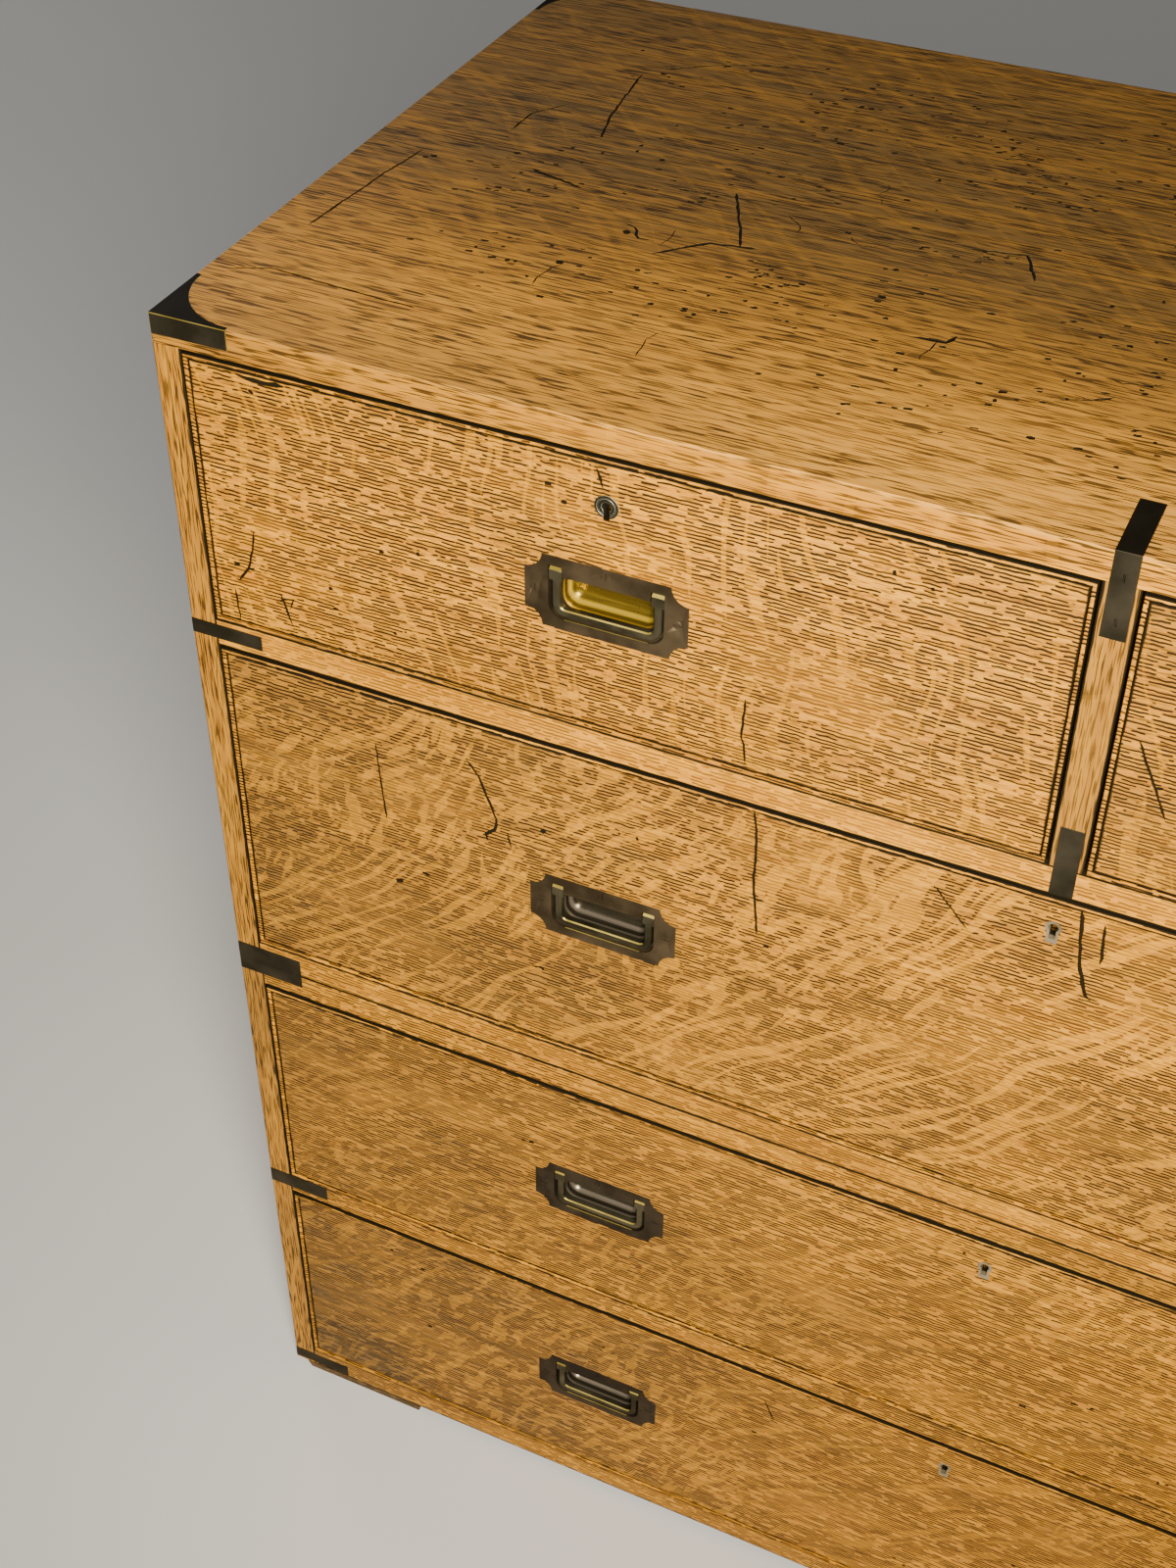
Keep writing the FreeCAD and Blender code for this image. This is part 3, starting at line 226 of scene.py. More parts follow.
cone = {"spot_size": math.radians(70.0), "spot_blend": 1.0, "shadow_soft_size": 0.28}
lamp("main_lamp", "SPOT", (0.35, -1.35, 1.45), (-0.2, -0.3, 0.72), 260.0, color=(1.0, 0.93, 0.80), **cone)
lamp("front_lamp", "AREA", (0.0, -2.2, 1.2), (-0.2, -0.24, 0.60), 10.0, size=1.2)
lamp("rear_lamp", "SUN", (-2.5, 2.0, 0.75), (0.0, 0.0, 0.40), 1.4, angle=0.5)
lamp("side_lamp", "SUN", (3.0, 0.6, 0.9), (0.0, 0.0, 0.40), 1.1, angle=0.5)
world = bpy.data.worlds.new("room")
world.use_nodes = True
world.node_tree.nodes["Background"].inputs[0].default_value = (0.86, 0.85, 0.82, 1.0)
world.node_tree.nodes["Background"].inputs[1].default_value = 0.09
bpy.context.scene.world = world
print("floor, four lamps and a dim sky")

# %% [markdown]
# ## Oak, cut on the quarter
# Oak cut towards the heart shows three things at once. Its large pores stand in rows, one row a year, and
# show as short dark dashes. Its rays, cut nearly flat, cross the grain as pale bent bands that interrupt the
# pores. Wax and dirt have darkened it where hands don't reach, and painted shade darkens its gaps, seams and
# cuts.

# %% The oak's colours
OAK_LIGHT = (0.940, 0.405, 0.020)
OAK_MID = (0.670, 0.260, 0.014)
OAK_DARK = (0.300, 0.125, 0.012)
PORE = (0.024, 0.013, 0.006)
RAY = (0.900, 0.390, 0.012)
# This stain colour is also painted shade, where the top darkens towards its back and left end and the drawer
# fronts towards their left ends.
STAIN_AND_SHADE = (0.140, 0.082, 0.028)
BLEACHED = (0.860, 0.430, 0.080)
# This near-black colour is both dirt and painted shade, laid in the oak's gaps, seams and cuts and on the
# brass's top faces.
GRIME_AND_SHADE = (0.010, 0.008, 0.005)
RING = 2.2 * MM  # from one year's row of pores to the next
RING_BEND = 7.0 * MM  # how far slow noise bends the rows
RING_STRAY = 2.0 * MM  # how far quick noise does
BOX_WALL = 9.0 * MM  # the thickness of a drawer's side


# %% One board's oak
class Oak(Finish):
    """The oak of one board, whose grain runs along X or Z, or of a drawer's box.

    A box is given by its node's name, and the grain of each of its boards runs along the board. The
    pores have a length, a share of them shows, and they stand in rows or lie scattered.
    """

    def __init__(self, name, grain, seed, pore_length=9 * MM, pore_share=1.0, rows=True):
        super().__init__(name)
        self.pore_length = pore_length
        self.pore_share = pore_share
        self.rows = rows
        self.along, self.across, self.deep = self.x, self.z, self.y  # as for grain along X
        if grain == "Z":
            self.along, self.across = self.z, self.x
        elif grain.endswith("_box"):
            low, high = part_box(grain)
            inset = (self.x - low.x).at_most(high.x - self.x)
            on_sides = 1.0 - inset.step(BOX_WALL, BOX_WALL + 0.1 * MM)
            self.along = self.x + on_sides * (self.y - self.x)  # there X and Y change places
            self.deep = self.y + on_sides * (self.x - self.y)
        self.own = (seed * 3.7, seed * 5.3, seed * 7.9)
        self.grown = self.point(self.along, self.across, self.deep)

    def grain(self, along, across, shift=0.0, detail=2.0):
        """Noise with so many waves a metre along the grain and across it."""
        own = tuple(value + shift for value in self.own)
        stretched = self.vector("MULTIPLY_ADD", self.grown, (along, across, across), own)
        return self.noise(stretched, detail)

    def pores(self):
        """Rows of dashes, one ring apart, over fine short pores.

        A place's ring is the whole part of its distance across the grain over the ring's width, and
        slow noise bends the rings. Noise with the ring's number in it breaks each row by itself.
        """
        fine = self.grain(0.9 / self.pore_length, 1500.0, shift=1.0).step(0.50, 0.64)
        if not self.rows:
            scattered = self.grain(0.6 / self.pore_length, 1300.0, shift=11.0, detail=0.0).step(0.50, 0.62)
            return scattered * (0.7 + 0.3 * self.grain(9.0, 45.0, shift=3.0).step(0.35, 0.60))
        bend = self.grain(2.4, 12.0, detail=1.0) * RING_BEND
        ring = (self.across + self.deep + bend + self.grain(40.0, 150.0, shift=12.0) * RING_STRAY) / RING
        number, share = self.maths("FLOOR", ring), self.maths("FRACT", ring)
        waver = self.noise(self.point(self.along * 200.0, number * 3.1, self.own[0]), 1.0)
        row = 1.0 - abs(share + (waver - 0.5) * 0.6 - 0.5).step(0.19, 0.29)
        dash = self.point(self.along / self.pore_length, number * 7.3, self.own[1])
        breaks = self.noise(dash, 1.0).step(0.40, 0.45)
        full = self.grain(9.0, 20.0, shift=3.0).step(0.30, 0.50)
        return (row * breaks * (0.7 + 0.3 * full)).at_least(fine * 0.6)

    def rays(self, lean, width, length, cover):
        """Pale bands that lean against the grain.

        The board's two directions are turned by the lean and bent by slow noise. Noise stretched
        along the band, and kept where it is high, leaves the bands.
        """
        bend = (self.grain(8.0, 10.0, shift=2.0, detail=1.0) - 0.5) * 0.05
        turn = math.radians(lean)
        over = self.across * math.cos(turn) - (self.along + self.deep) * math.sin(turn) + bend
        down = (self.along + self.deep) * math.cos(turn) + self.across * math.sin(turn)
        field = self.noise(self.point(over / width, down / length, self.own[2]), 1.0)
        return field.step(cover, cover + 0.04)

    def near(self):
        """1 at the chest's front and just behind it, 0 further back, where no dirt and no painted shade is
        laid.
        """
        return 1.0 - self.y.step(FRONT + 5 * MM, FRONT + 12 * MM)

    def hidden(self):
        """1 just behind the chest's front, where dirt and painted shade lie in the gaps and in the fronts'
        cuts, and 0 on it and far back.
        """
        return self.y.step(FRONT + 0.1 * MM, FRONT + 0.5 * MM) * self.near()

    def edge_dirt_and_shade(self, inset, width):
        """1 beside a front edge, by the distance from it, in a line of dirt and painted shade whose width
        wanders.
        """
        wander = 0.3 + 1.4 * self.cloud(70.0, self.own[0])
        return (1.0 - (inset / wander).step(width * 0.7, width * 1.3)) * self.near()

    def finished(self, flecks, stain_and_shade, grime_and_shade, bleach=0.0):
        """The whole finish, from the shares of flecks, of dark stain and painted shade, of grime and painted
        shade, and of lost polish.
        """
        streaks = self.grain(9.0, 240.0, shift=4.0, detail=3.0)
        slow = self.grain(2.2, 10.0, shift=6.0)
        tone = self.blend(streaks.step(0.30, 0.68), OAK_MID, OAK_LIGHT)
        tone = self.blend((1.0 - slow.step(0.30, 0.62)) * 0.35, tone, OAK_DARK)
        tone = self.blend(bleach * (0.3 + streaks), tone, BLEACHED) if bleach else tone
        # The stain share darkens real stain and, on the top and the drawer fronts, painted shade too.
        tone = self.blend(stain_and_shade * (1.0 - 0.4 * flecks), self.blend(flecks, tone, RAY), STAIN_AND_SHADE)
        pores = self.pores() * (1.0 - 0.85 * flecks) * self.pore_share
        tone = self.blend(pores, tone, PORE)
        # The grime share is dirt and painted shade in the gaps, seams and cuts.
        tone = self.blend(grime_and_shade, tone, GRIME_AND_SHADE)
        rough = 0.42 + 0.15 * streaks + 0.15 * pores + 0.2 * grime_and_shade
        return self.close(
            Base_Color=tone,
            Roughness=rough,
            Normal=self.bump(streaks * 0.2 - pores * 0.7, 0.2 * MM, 0.6),
            Specular_IOR_Level=0.20,
            Specular_Tint=(1.0, 0.70, 0.25, 1.0),
        )


# %% [markdown]
# ## Brass, aged dark
# The straps and plates have gone brown-black. Where hands and cloths rub, the yellow metal shows.
# Tarnish is an oxide on a metal, so the patina is only partly metallic and its glancing shine is dull.

# %% Depths of a handle's pan
# By these depths a pan's painted highlight falls on its rim and the turn of its floor.
PAN_START = 4.9 * MM  # from the front's plane to where the pan begins,
PAN_RIM = 6.0 * MM  # to the end of its rim,
PAN_TURN = 11.0 * MM  # and to where its floor turns up


# %% Brass in its ages
def brass(name, deep_colour, light_colour, seed, rough=0.42, metal=0.7, pan_shade_and_highlight=None):
    """Patina between two colours, by slow noise, with fine scuffs, and painted nearly black on the top faces
    as shade.

    A pan behind a plate has its own pair, a painted shade and a painted highlight, by the depth behind the
    chest's front. The highlight shows at its rim and where its floor turns up, in streaks, and the shade
    everywhere else.
    """
    skin = Finish(name)
    cloud = skin.cloud(45.0, seed * 4.1, 4.0)
    scuff = skin.noise(skin.vector("MULTIPLY", skin.place, (700.0, 700.0, 160.0)))
    tone = skin.blend(cloud.step(0.32, 0.70), deep_colour, light_colour)
    # Painted shade: the top faces are darkened nearly to black.
    upper_face_shade = skin.z.step(TOP - 0.2 * MM, TOP - 0.05 * MM)
    tone = skin.blend(0.75 * upper_face_shade, tone, GRIME_AND_SHADE)
    roughness = rough + 0.16 * cloud - 0.10 * scuff + 0.10 * upper_face_shade
    if pan_shade_and_highlight:
        depth = skin.y - FRONT
        pan = depth.step(PAN_START, PAN_START + 0.5 * MM)
        # Painted highlights: the pan's rim and the turn of its floor; the rest of the pan gets the painted
        # shade colour.
        rim_highlight = 1.0 - depth.step(PAN_RIM, PAN_RIM + 1.5 * MM)
        turn = 1.0 - abs(depth - PAN_TURN).step(0.4 * MM, 2.0 * MM)
        streak_highlight = skin.noise(skin.vector("MULTIPLY", skin.place, (25.0, 900.0, 900.0)))
        tone = skin.blend(pan, tone, skin.blend(rim_highlight.at_least(turn) + (streak_highlight - 0.5) * 0.8, *pan_shade_and_highlight))
        roughness = roughness - pan * 0.16
    return skin.close(
        Base_Color=tone,
        Metallic=metal,
        Roughness=roughness,
        Normal=skin.bump(cloud, 0.05 * MM, 0.35),
        Specular_IOR_Level=0.3,
        Specular_Tint=(0.35, 0.30, 0.20, 1.0),
    )


# %% [markdown]
# ## The marks of use
# A long scratch, a cut or a dent is a real groove. Each is a run of places in millimetres, across
# and up on a drawer's front, across and back on the top, with its width. A bar is laid along the
# run, wide above the face and narrower below it, and the board loses all its bars at once.

# %% Marks seen on the drawer fronts
FRONT_MARKS = {
    "top_left_drawer": (
        (((-448, 776), (-449, 767), (-454, 750), (-461, 741)), 1.1),
        (((-464, 735), (-463, 714)), 1.2),
        (((-436, 741), (-433, 733), (-429, 720)), 1.2),
        (((-438, 735), (-427, 739), (-430, 731)), 0.8),
        (((-168, 758), (-169, 735), (-166, 717)), 1.0),
        (((-249, 869), (-246, 859)), 1.8),
        (((-447, 870), (-436, 869), (-420, 870)), 2.4),
        (((-441, 863), (-439, 861)), 2.0),
    ),
    "top_right_drawer": ((((21, 798), (31, 776), (40, 757)), 1.1),),
    "second_drawer": (
        (((-326, 663), (-319, 654), (-308, 624), (-310, 618), (-316, 612), (-315, 608)), 1.6),
        (((-302, 618), (-300, 608)), 1.6),
        (((-383, 655), (-381, 623), (-379, 600)), 1.1),
        (((-159, 688), (-157, 667), (-157, 636), (-153, 602)), 1.2),
        (((12, 687), (16, 651), (22, 631), (25, 630)), 1.7),
        (((24, 682), (26, 656)), 1.2),
        (((-62, 675), (-42, 652)), 1.0),
        (((-281, 629), (-279, 627)), 3.4),
        (((-376, 553), (-371, 554)), 2.8),
        (((-358, 566), (-353, 566)), 2.2),
    ),
    "third_drawer": ((((-119, 333), (-102, 331)), 1.1),),
    "bottom_drawer": ((((-123, 184), (-115, 166)), 1.1),),
}
print("marks seen on the fronts", sum(len(marks) for marks in FRONT_MARKS.values()))

# %% Marks seen on the top
TOP_MARKS = (
    (((-280, 7), (-260, -37), (-255, -51)), 1.3),
    (((-294, -78), (-271, -54), (-245, -50)), 1.9),
    (((-383, 145), (-358, 164), (-333, 176), (-312, 182)), 1.4),
    (((-410, 26), (-377, 41), (-384, 69), (-392, 133)), 1.1),
    (((-144, -2), (-115, 4), (-104, -22)), 1.6),
    (((-428, 28), (-427, 55), (-413, 75)), 1.1),
    (((-144, -104), (-125, -102), (-123, -94)), 2.4),
    (((-322, -51), (-312, -55), (-308, -65), (-298, -64)), 1.2),
    (((-317, -62), (-314, -60)), 4.0),
    (((-395, -13), (-358, -24)), 1.7),
    (((-461, -17), (-466, -52), (-472, -125)), 1.1),
    (((-484, -185), (-463, -176), (-422, -180), (-377, -182)), 1.1),
)
print("marks seen on the top", len(TOP_MARKS))


# %% Marks thrown over the rest
def dents(chance, middles, spread, count):
    """Short dents that lie across, so many thrown around each of the middles."""
    places = [place for middle in middles for place in chance.normal(middle, spread, (count, 2))]
    lengths, widths = chance.uniform(1.5, 4.5, len(places)), chance.uniform(1.1, 2.5, len(places))
    return [
        (((x, y), (x + length, y + 0.4)), width)
        for (x, y), length, width in zip(places, lengths, widths)
    ]


def thrown_marks(chance):
    """More of the top's wear: dents in clusters, and thin cuts that curl.

    A cut's heading drifts by a random angle at each of its five steps, and its places are the sums
    of those steps.
    """
    front = ((-304, -1), (-233, -71), (-220, -76), (-133, -6), (-60, -60), (-20, 20))
    rear = ((-259, 145), (-169, 125), (-136, 99), (-107, 72), (-60, 110), (0, 80), (30, 130))
    seen = (*front, *rear)
    thrown = np.stack([chance.uniform(-400, 400, 60), chance.uniform(-170, 190, 60)], axis=1)
    marks = dents(chance, seen, (10, 6), 10) + dents(chance, thrown, (30, 14), 12)
    for x, y in zip(chance.uniform(-430, 430, 34), chance.uniform(-170, 190, 34)):
        turn = chance.uniform(0, 2 * math.pi) + np.cumsum(chance.uniform(-0.5, 0.9, 5))
        places = np.cumsum(chance.uniform(4, 9) * np.stack([np.cos(turn), np.sin(turn)], axis=1), axis=0)
        marks.append((places + (x, y), chance.uniform(0.5, 0.9)))
    return marks


# %% [markdown]
# ## Cutting the marks
# A dark line painted on a board looks right from one side only. A groove catches light and shade
# from every side, so the bars are taken from the board with Blender's exact Boolean. That needs
# closed skins, and a frame node is loose triangles, so its copy is merged first.

# %% From a mark's own places to the chest's
CUT_DEPTH = 0.6 * MM
STATION_STEP = 4 * MM


def on_front(across, up):
    """A place on the plane of the drawer fronts."""
    return (across * MM, FRONT, up * MM)


def on_top(across, deep):
    """A place on the top board's upper face."""
    return (across * MM, deep * MM, TOP)


# %% A bar's profile
PROFILE_RISE = np.array((0.5, 0.5, -1.0, -1.0))[:, None]  # over the face, in shares of the depth
PROFILE_REACH = np.array((-1.2, 1.2, 0.7, -0.7))[:, None]  # to a side, in shares of half the width
CORNER = np.arange(4)
NEXT_CORNER = (CORNER + 1) % 4
HALF_BAR = 0.75  # half the width, in shares of the mark's: a groove looks narrower than it is cut
SHORT_MARK = 8 * MM
STRAY = 0.2 * MM


# %% The bars that cut them
def cutting_bars(marks, placed, outward, chance):
    """A mesh of bars: the profile carried along the path of each mark.

    A mark's stations are a step apart and stray a little to the side. A corner is its station, plus
    its rise times the depth outwards, plus its reach times half the width sideways. The width
    varies, and narrows at both ends, less so on a short mark. A face joins two corners to the same
    two of the next station, and one more face closes each end.
    """
    outward = np.array(outward)
    points, faces, first = [], [], 0
    for places, width in marks:
        corners = np.array([placed(*place) for place in places])
        travelled = np.concatenate([[0.0], np.cumsum(np.linalg.norm(np.diff(corners, axis=0), axis=1))])
        count = max(3, int(travelled[-1] / STATION_STEP) + 1)
        at = np.linspace(0, travelled[-1], count)
        path = np.stack([np.interp(at, travelled, column) for column in corners.T], axis=1)
        heading = np.gradient(path, axis=0)
        side = np.cross(heading / np.linalg.norm(heading, axis=1, keepdims=True), outward)
        path += side * chance.normal(0, STRAY, (count, 1))
        share = chance.uniform(0.65, 1.1, (count, 1))
        share[[0, -1]] = 0.7 if travelled[-1] < SHORT_MARK else 0.3
        half = side * share * width * MM * HALF_BAR
        rings = path[:, None] + outward * CUT_DEPTH * PROFILE_RISE + half[:, None] * PROFILE_REACH
        points += rings.reshape(-1, 3).tolist()
        near = first + 4 * np.arange(count - 1)[:, None]
        far = near + 4
        walls = np.stack([near + CORNER, near + NEXT_CORNER, far + NEXT_CORNER, far + CORNER], axis=2)
        ends = np.array([first + CORNER[::-1], first + 4 * (count - 1) + CORNER])
        faces += [*walls.reshape(-1, 4).tolist(), *ends.tolist()]
        first += 4 * count
    mesh = bpy.data.meshes.new("cutting_bars")
    mesh.from_pydata(points, [], faces)
    return mesh


# %% A board less its bars
def less(mesh, cutter):
    """The mesh less the cutter, both as closed skins."""
    pair = []
    for name, data in (("board", mesh), ("cutter", cutter)):
        shape = bmesh.new()
        shape.from_mesh(data)
        bmesh.ops.remove_doubles(shape, verts=shape.verts, dist=1e-6)
        bmesh.ops.triangulate(shape, faces=shape.faces)
        bmesh.ops.recalc_face_normals(shape, faces=shape.faces)
        clean = bpy.data.meshes.new(name)
        shape.to_mesh(clean)
        shape.free()
        pair.append(bpy.data.objects.new(name, clean))
        bpy.context.scene.collection.objects.link(pair[-1])
    board, bars = pair
    cut = board.modifiers.new("cut", "BOOLEAN")
    cut.operation, cut.solver, cut.use_self, cut.object = "DIFFERENCE", "EXACT", True, bars
    result = bpy.data.meshes.new_from_object(board.evaluated_get(bpy.context.evaluated_depsgraph_get()))
    for thing in pair:
        bpy.data.objects.remove(thing)
    return result


# %% [markdown]
# ## Worn arrises
# A frame node is cut dead sharp. Real boards and straps have a small round on every outer edge, which
# catches a line of light. A copy of the node's mesh is merged, its flat faces are joined, and a
# Bevel takes the corners off by the share that each edge is given.


# %% Worn copies
def never(middle, length_or_normal):
    """No edge is worn, or no face is bright."""
    return 0.0


def worn_copy(
    node, materials, width=0.0, weight=never, bright=never, edge_material=-1, cutter=None, flat=False
):
    """A worn copy of a frame node that stands for it, less the cutter.

    weight(middle, length) gives each edge's share of the bevel, and bright(middle, normal) picks the
    faces that wear the last material. The bevels wear the material at edge_material. Flat shading
    keeps a broad face even where small cuts break it.
    """
    shape = bmesh.new()
    shape.from_mesh(less(nodes[node].data, cutter) if cutter else nodes[node].data)
    bmesh.ops.remove_doubles(shape, verts=shape.verts, dist=1e-6)
    bmesh.ops.dissolve_limit(shape, angle_limit=0.01, verts=shape.verts, edges=shape.edges)
    layer = shape.edges.layers.float.new("bevel_weight_edge")
    for edge in shape.edges:
        if len(edge.link_faces) == 2 and edge.calc_face_angle(0.0) > 0.6:
            middle = (edge.verts[0].co + edge.verts[1].co) / 2
            edge[layer] = weight(middle, edge.calc_length())
    shape.normal_update()
    for face in shape.faces:
        face.material_index = len(materials) - 1 if bright(face.calc_center_median(), face.normal) else 0
    mesh = bpy.data.meshes.new(node + "_worn")
    shape.to_mesh(mesh)
    shape.free()
    for material in materials:
        mesh.materials.append(material)
    if cutter or flat:
        mesh.shade_flat()
    else:
        mesh.set_sharp_from_angle(angle=0.6)
    piece = bpy.data.objects.new(node + "_worn", mesh)
    bpy.context.scene.collection.objects.link(piece)
    if width:
        bevel = piece.modifiers.new("worn_arrises", "BEVEL")
        bevel.width = width
        bevel.segments = 2
        bevel.limit_method = "WEIGHT"
        bevel.use_clamp_overlap = False
        bevel.material = edge_material % len(materials)
    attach(piece, body_of_node[node])
    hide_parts(node)


# %% Nodes that keep their mesh
def finish_node(node, material):
    """Gives a frame node its material and nothing else."""
    mesh = nodes[node].data
    mesh.materials.clear()
    mesh.materials.append(material)


def outer_arris(middle, length):
    """All of it where the front meets the top or a side, and a share on these faces' other edges."""
    if length < 4 * MM:
        return 0.0
    outside = abs(abs(middle.x) - SIDE) < 0.2 * MM or middle.z > TOP - 0.2 * MM
    at_front = abs(middle.y - FRONT) < 0.2 * MM
    return 1.0 if outside and at_front else 0.3 if at_front or outside else 0.0


# %% [markdown]
# ## Oak on the cases
# Dirt gathers where a cloth can't reach: in the gaps round the drawers, along the seams and inside the marks,
# and painted shade is laid in the same places to darken them further. A painted image would fit one size of
# chest only, so each board says where its own dirt and painted shade lie, by distances from its faces.
# Sunlight and use have bleached the top's front, and its back and left end are darker, partly as painted
# shade of the light falling off across the top.

# %% Where dirt lies on the cases
SEAM = 1.0 * MM
SIDE_BOARD = 16.5 * MM  # its thickness
ARRIS = 1.0 * MM  # the round on the cases' outer edges


def side_dirt_and_shade(wood):
    """Dirt and painted shade behind the front's plane on the side boards, except on their outer faces."""
    inner_face = SIDE - SIDE_BOARD
    inward = 1.0 - abs(wood.x).step(inner_face + 0.1 * MM, inner_face + 0.4 * MM)
    return (wood.hidden() * inward).at_least(wood.edge_dirt_and_shade(abs(wood.x) - inner_face, SEAM))


def rail_dirt_and_shade(wood, node, grain):
    """Dirt and painted shade behind the front's plane, and along both seams of a rail or stile."""
    low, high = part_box(node)
    axis = "x" if grain == "Z" else "z"
    middle = (getattr(low, axis) + getattr(high, axis)) / 2
    inset = (getattr(high, axis) - middle) - abs(wood.across - middle)
    return wood.hidden().at_least(wood.edge_dirt_and_shade(inset, SEAM))


def top_dirt_and_shade(wood):
    """Dirt and painted shade under the top board's front edge, and in the cuts in its face."""
    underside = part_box("top_board")[0].z
    under = 1.0 - wood.z.step(underside + 0.1 * MM, underside + 0.5 * MM)
    # Painted shade and dirt along the seam under the top's front edge.
    grime_and_shade = wood.hidden().at_least(wood.edge_dirt_and_shade(wood.z - underside, SEAM)) * under
    below_face = 1.0 - wood.z.step(TOP - 0.2 * MM, TOP - 0.02 * MM)
    # Painted shade and dirt inside the cuts in the top's face.
    cuts = wood.z.step(TOP - 2.0 * CUT_DEPTH, TOP - 1.5 * CUT_DEPTH) * below_face
    inside = 1.0 - abs(wood.x).step(SIDE - 1.5 * ARRIS, SIDE - ARRIS)
    inside = inside * wood.y.step(FRONT + 1.2 * ARRIS, FRONT + 1.6 * ARRIS)
    return grime_and_shade.at_least(cuts * inside)


# %% The finish of a case's board
def case_oak(node, grain, seed, pore_share, dark):
    """One board's finish: faint flecks, stain in clouds, and its own dirt and painted shade.

    The top's stain grows towards the back and the left end, where its bleached polish fades out; this
    darkening is partly painted shade of the light falling off across the top.
    """
    is_top = node == "top_board"
    wood = Oak(node + "_oak", grain, seed, 9 * MM, pore_share, rows=grain == "X" and not is_top)
    flecks = wood.rays(80.0, 11 * MM, 70 * MM, 0.60) * 0.15
    stain_and_shade = wood.cloud(5.0, seed, 6.0).step(0.36, 0.80) * 0.3 + dark
    if not is_top:
        grime_and_shade = side_dirt_and_shade(wood) if "sides" in node else rail_dirt_and_shade(wood, node, grain)
        return wood.finished(flecks, stain_and_shade, grime_and_shade)
    # Partly painted shade: darker towards the back and the left end, and less bleached there.
    dull_and_shaded = wood.y.step(-0.24, -0.02).at_least(0.45 - 0.45 * wood.x.step(-0.50, -0.10))
    stain_and_shade = stain_and_shade * 0.5 + dull_and_shaded * 0.72
    stain_and_shade = stain_and_shade + wood.grain(4.0, 330.0, shift=8.0, detail=1.0).step(0.4, 0.6) * 0.16
    # The bleach fades with that painted shade, towards the back and the left end.
    bleach = wood.z.step(TOP - 3 * MM, TOP - 0.5 * MM) * (0.6 - 0.4 * dull_and_shaded)
    return wood.finished(flecks, stain_and_shade, top_dirt_and_shade(wood), bleach)


# %% The boards of both cases
CASE_BOARDS = (  # node, run of the grain, share of its pores that shows, darkness
    ("top_board", "X", 0.9, 0.0),
    ("upper_sides", "Z", 0.9, 0.38),
    ("lower_sides", "Z", 0.9, 0.42),
    ("upper_divider", "X", 0.7, 0.03),
    ("lower_divider", "X", 1.0, 0.20),
    ("upper_base_board", "X", 0.8, 0.08),
    ("lower_top_board", "X", 0.9, 0.20),
    ("lower_bottom_board", "X", 0.9, 0.35),
    ("centre_stile", "Z", 0.9, 0.48),
)
chance = np.random.default_rng(7)  # throws the same marks every time
top_marks = [*TOP_MARKS, *thrown_marks(chance)]
top_bars = cutting_bars(top_marks, on_top, (0, 0, 1), chance)
for order, (node, grain, pore_share, dark) in enumerate(CASE_BOARDS):
    finish = case_oak(node, grain, 1.0 + order * 0.83, pore_share, dark)
    worn_copy(node, [finish], ARRIS, outer_arris, cutter=top_bars if node == "top_board" else None)
print("boards of the cases", len(CASE_BOARDS), "marks in the top", len(top_marks))

# %% [markdown]
# ## Oak on the drawers
# The maker chose each front for its figure. The top row is nearly plain, with faint upright flecks.
# The second front has long leaning bands with short flames between them, and the lower two are quieter, and
# darker at the left, where the darkening is partly painted shade. One oak for all five would look like one
# sheet of veneer, so every front has its own lean, shares and darkness.


# %% Places inside a front's outline
BEAD_WIDTH = 2.4 * MM


def inset_of(wood, node):
    """How far a place lies inside the node's outline, seen from the front."""
    low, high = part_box(node)
    middle, half = (low + high) / 2, (high - low) / 2
    return (half.x - abs(wood.x - middle.x)).at_most(half.z - abs(wood.z - middle.z))


# %% The finish of a drawer's front
def drawer_oak(drawer, seed, lean, bands, flames, dark, left, pore_length):
    """A drawer front's finish: leaning bands, shorter flames between them, and stain and painted shade by
    place.

    The stain gathers in clouds, and towards the left end it is partly painted shade, while on the top left
    front a lighter left end is painted light. Dirt and painted shade lie along the cock beads.
    """
    wood = Oak(drawer + "_oak", "X", seed, pore_length)
    patches = wood.grain(4.0, 7.0, shift=5.0, detail=1.0)
    long_bands = wood.rays(lean, 6 * MM, 90 * MM, 0.59) * patches.step(0.36, 0.50) * bands
    short_bands = wood.rays(lean + 15.0, 6 * MM, 20 * MM, 0.56) * (1.0 - patches.step(0.46, 0.56)) * flames
    stain_and_shade = (0.3 + 0.7 * wood.cloud(12.0, seed, 6.0).step(0.38, 0.78)) * dark
    # Darker towards the left end: partly the wood's tone, partly painted shade of the light falling off to
    # the left; a share below 0, on the top left front, paints light there instead.
    stain_and_shade = stain_and_shade + (1.0 - wood.x.step(-0.50, 0.05)) * left
    stain_and_shade = stain_and_shade + wood.grain(22.0, 330.0, shift=9.0, detail=4.0).step(0.45, 0.62) * 0.22
    inset = inset_of(wood, drawer + "_front") - BEAD_WIDTH
    # Painted shade and dirt in the gap round the front, along its cock beads and in its cuts.
    grime_and_shade = wood.hidden().at_least(wood.edge_dirt_and_shade(inset, 1.5 * MM))
    return wood.finished(long_bands.at_least(short_bands), stain_and_shade, grime_and_shade)


def bead_oak(drawer, seed):
    """The cock beads' finish, dark with dirt and painted shade where they sink into the front."""
    wood = Oak(drawer + "_bead_oak", "X", seed)
    inset = inset_of(wood, drawer + "_cock_beads")
    # Painted shade and dirt along the beads' edges.
    grime_and_shade = wood.hidden().at_least(wood.edge_dirt_and_shade(inset, 0.45 * MM))
    return wood.finished(0.0 * wood.x, 0.5 * wood.cloud(25.0, seed, 4.0).step(0.4, 0.7), grime_and_shade)


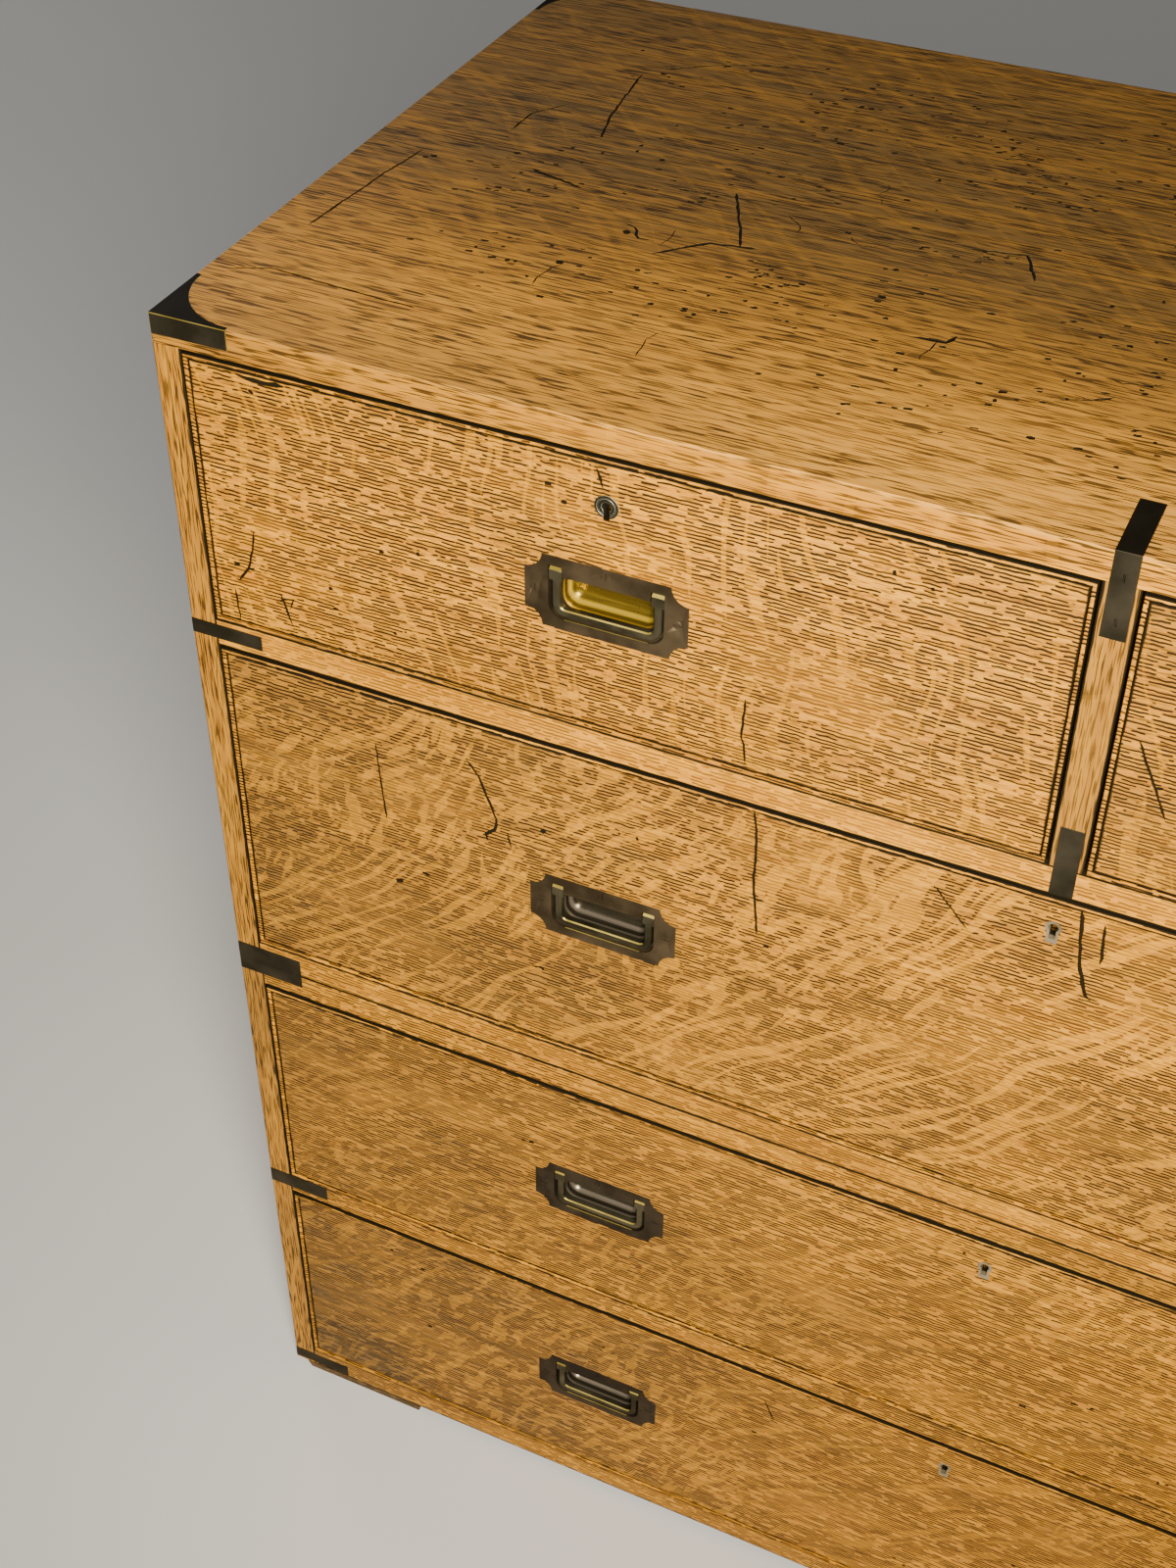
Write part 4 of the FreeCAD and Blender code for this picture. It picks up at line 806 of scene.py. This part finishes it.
# %% The five drawers
# The share more at the left is partly painted shade; below 0 it is painted light.
DRAWERS = (  # name, lean of the bands, shares of bands and flames, darkness, and more at the left, pores
    ("top_left_drawer", 97.0, 0.35, 0.0, 0.35, -0.20, 9 * MM),
    ("top_right_drawer", 97.0, 0.30, 0.0, 0.48, 0.0, 9 * MM),
    ("second_drawer", 44.0, 0.55, 0.55, 0.40, 0.35, 9 * MM),
    ("third_drawer", 36.0, 0.25, 0.35, 0.34, 0.33, 13 * MM),
    ("bottom_drawer", 36.0, 0.30, 0.45, 0.38, 0.50, 13 * MM),
)
for order, (drawer, *figure) in enumerate(DRAWERS):
    seed = 11.0 + order * 1.31
    low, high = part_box(drawer + "_front")
    middles = chance.uniform((low.x / MM + 20, low.z / MM + 12), (high.x / MM - 20, high.z / MM - 12), (7, 2))
    marks = [*FRONT_MARKS[drawer], *dents(chance, middles, (8, 4), 2)]
    bars = cutting_bars(marks, on_front, (0, -1, 0), chance)
    worn_copy(drawer + "_front", [drawer_oak(drawer, seed, *figure)], cutter=bars)
    finish_node(drawer + "_cock_beads", bead_oak(drawer, seed + 9.0))
    print(drawer, "marks in its front", len(marks))

# %% [markdown]
# ## Wood inside
# Drawer boxes, dust boards and backs were never polished, so they have no flecks and no bleached
# places. A box's sides run front to back. Its boards are one node, so the box's oak turns its grain
# within the thickness of the side boards, and no face needs a material of its own.


# %% Wood inside
def plain_oak(name, seed, dark, grain="X"):
    """Oak that nobody polishes: no flecks, no lines of dirt and painted shade."""
    wood = Oak(name, grain, seed)
    return wood.finished(0.0 * wood.x, dark + 0.2 * wood.cloud(6.0, seed), 0.0 * wood.x)


inner_wood = plain_oak("inner_wood", 31.0, 0.1)
inner_nodes = [row["node"] for row in frame["record"]["subparts"] if row["material_slot"] == "inner_wood"]
for node in inner_nodes:
    finish_node(node, plain_oak(node + "_oak", 35.0, 0.1, node) if node.endswith("_box") else inner_wood)
# The corner pads are stained nearly black: painted shade under the chest, where it stands on them.
finish_node("corner_pads", plain_oak("pad_oak", 41.0, 0.95))
print("nodes of inner wood", len(inner_nodes))

# %% [markdown]
# ## Brass on the corners, handles and locks
# The straps and brackets are nearly black, with a bright line only where the brackets' front arris is rubbed,
# and the brass's top faces are painted darker still, as shade. The plates keep some brown. Fingers polish the
# pans of the top row and the upper side of every bail. A rubbed arris is a bevel with faces of its own, so it
# wears a second material and no mask has to be painted. A pan's colours follow its depth: a painted highlight
# at its rim and where its floor turns up, and painted shade elsewhere.

# %% The colours of the brass
STRAP = ((0.034, 0.029, 0.017), (0.072, 0.060, 0.038))
PLATE = ((0.050, 0.036, 0.019), (0.120, 0.086, 0.047))
LOW_PLATE = ((0.028, 0.021, 0.013), (0.070, 0.053, 0.033))
# Each pan pair is a painted shade colour and a painted highlight colour.
WARM_PAN_SHADE_AND_HIGHLIGHT = ((0.150, 0.100, 0.012), (0.900, 0.620, 0.050))
COOL_PAN_SHADE_AND_HIGHLIGHT = ((0.040, 0.032, 0.018), (0.260, 0.215, 0.160))
strap_patina = brass("strap_patina", *STRAP, 1.0)
rubbed = brass("rubbed_brass", (0.260, 0.190, 0.030), (0.520, 0.400, 0.090), 2.0, 0.32, 0.35)
bail_patina = brass("bail_patina", (0.036, 0.031, 0.017), (0.110, 0.096, 0.055), 4.0, 0.30)
lining = brass("lining_brass", (0.300, 0.230, 0.120), (0.520, 0.430, 0.280), 5.0)
dull_lining = brass("dull_lining", (0.030, 0.032, 0.022), (0.080, 0.078, 0.050), 6.0)


# %% Which edges and faces are rubbed
def every_arris(middle, length):
    """All edges but the shortest, which a bevel would fold over."""
    return 1.0 if length > 0.4 * MM else 0.0


def front_arris(middle, length):
    """The edges in the front's plane."""
    return 1.0 if middle.y < FRONT + 0.4 * MM else 0.0


def faces_up_and_out(middle, normal):
    """The bar's own bevels that fingers rub, which face up and out."""
    return normal.y < -0.5 and normal.z > 0.5


def slot_foot(middle, length):
    """The lower edge of a handle's opening, the only edge of its length in the plate's face."""
    return 1.0 if middle.y < FRONT + 0.2 * MM and 40 * MM < length < 60 * MM else 0.0


# %% The fittings
for node in ("upper_straps", "lower_straps"):
    worn_copy(node, [strap_patina], 0.3 * MM, every_arris, flat=True)
worn_copy("top_corner_brackets", [strap_patina, rubbed], 0.5 * MM, outer_arris, flat=True)
for seed, node in enumerate(sorted(nodes)):
    if "handle_plate" in node:
        pan = WARM_PAN_SHADE_AND_HIGHLIGHT if node.startswith("top") else COOL_PAN_SHADE_AND_HIGHLIGHT
        plate = PLATE if node.startswith(("top", "second")) else LOW_PLATE
        patina = brass(node + "_patina", *plate, 10.0 + seed, pan_shade_and_highlight=pan)
        worn_copy(node, [patina, rubbed], 0.5 * MM, slot_foot)
    elif node.endswith("_bail"):
        worn_copy(node, [bail_patina, rubbed], 0.20 * MM, every_arris, faces_up_and_out, edge_material=0)
    elif node.endswith("_lock") and node.startswith("top"):
        worn_copy(node, [dull_lining, lining], 0.15 * MM, front_arris)
    elif "_lock" in node:
        finish_node(node, lining)
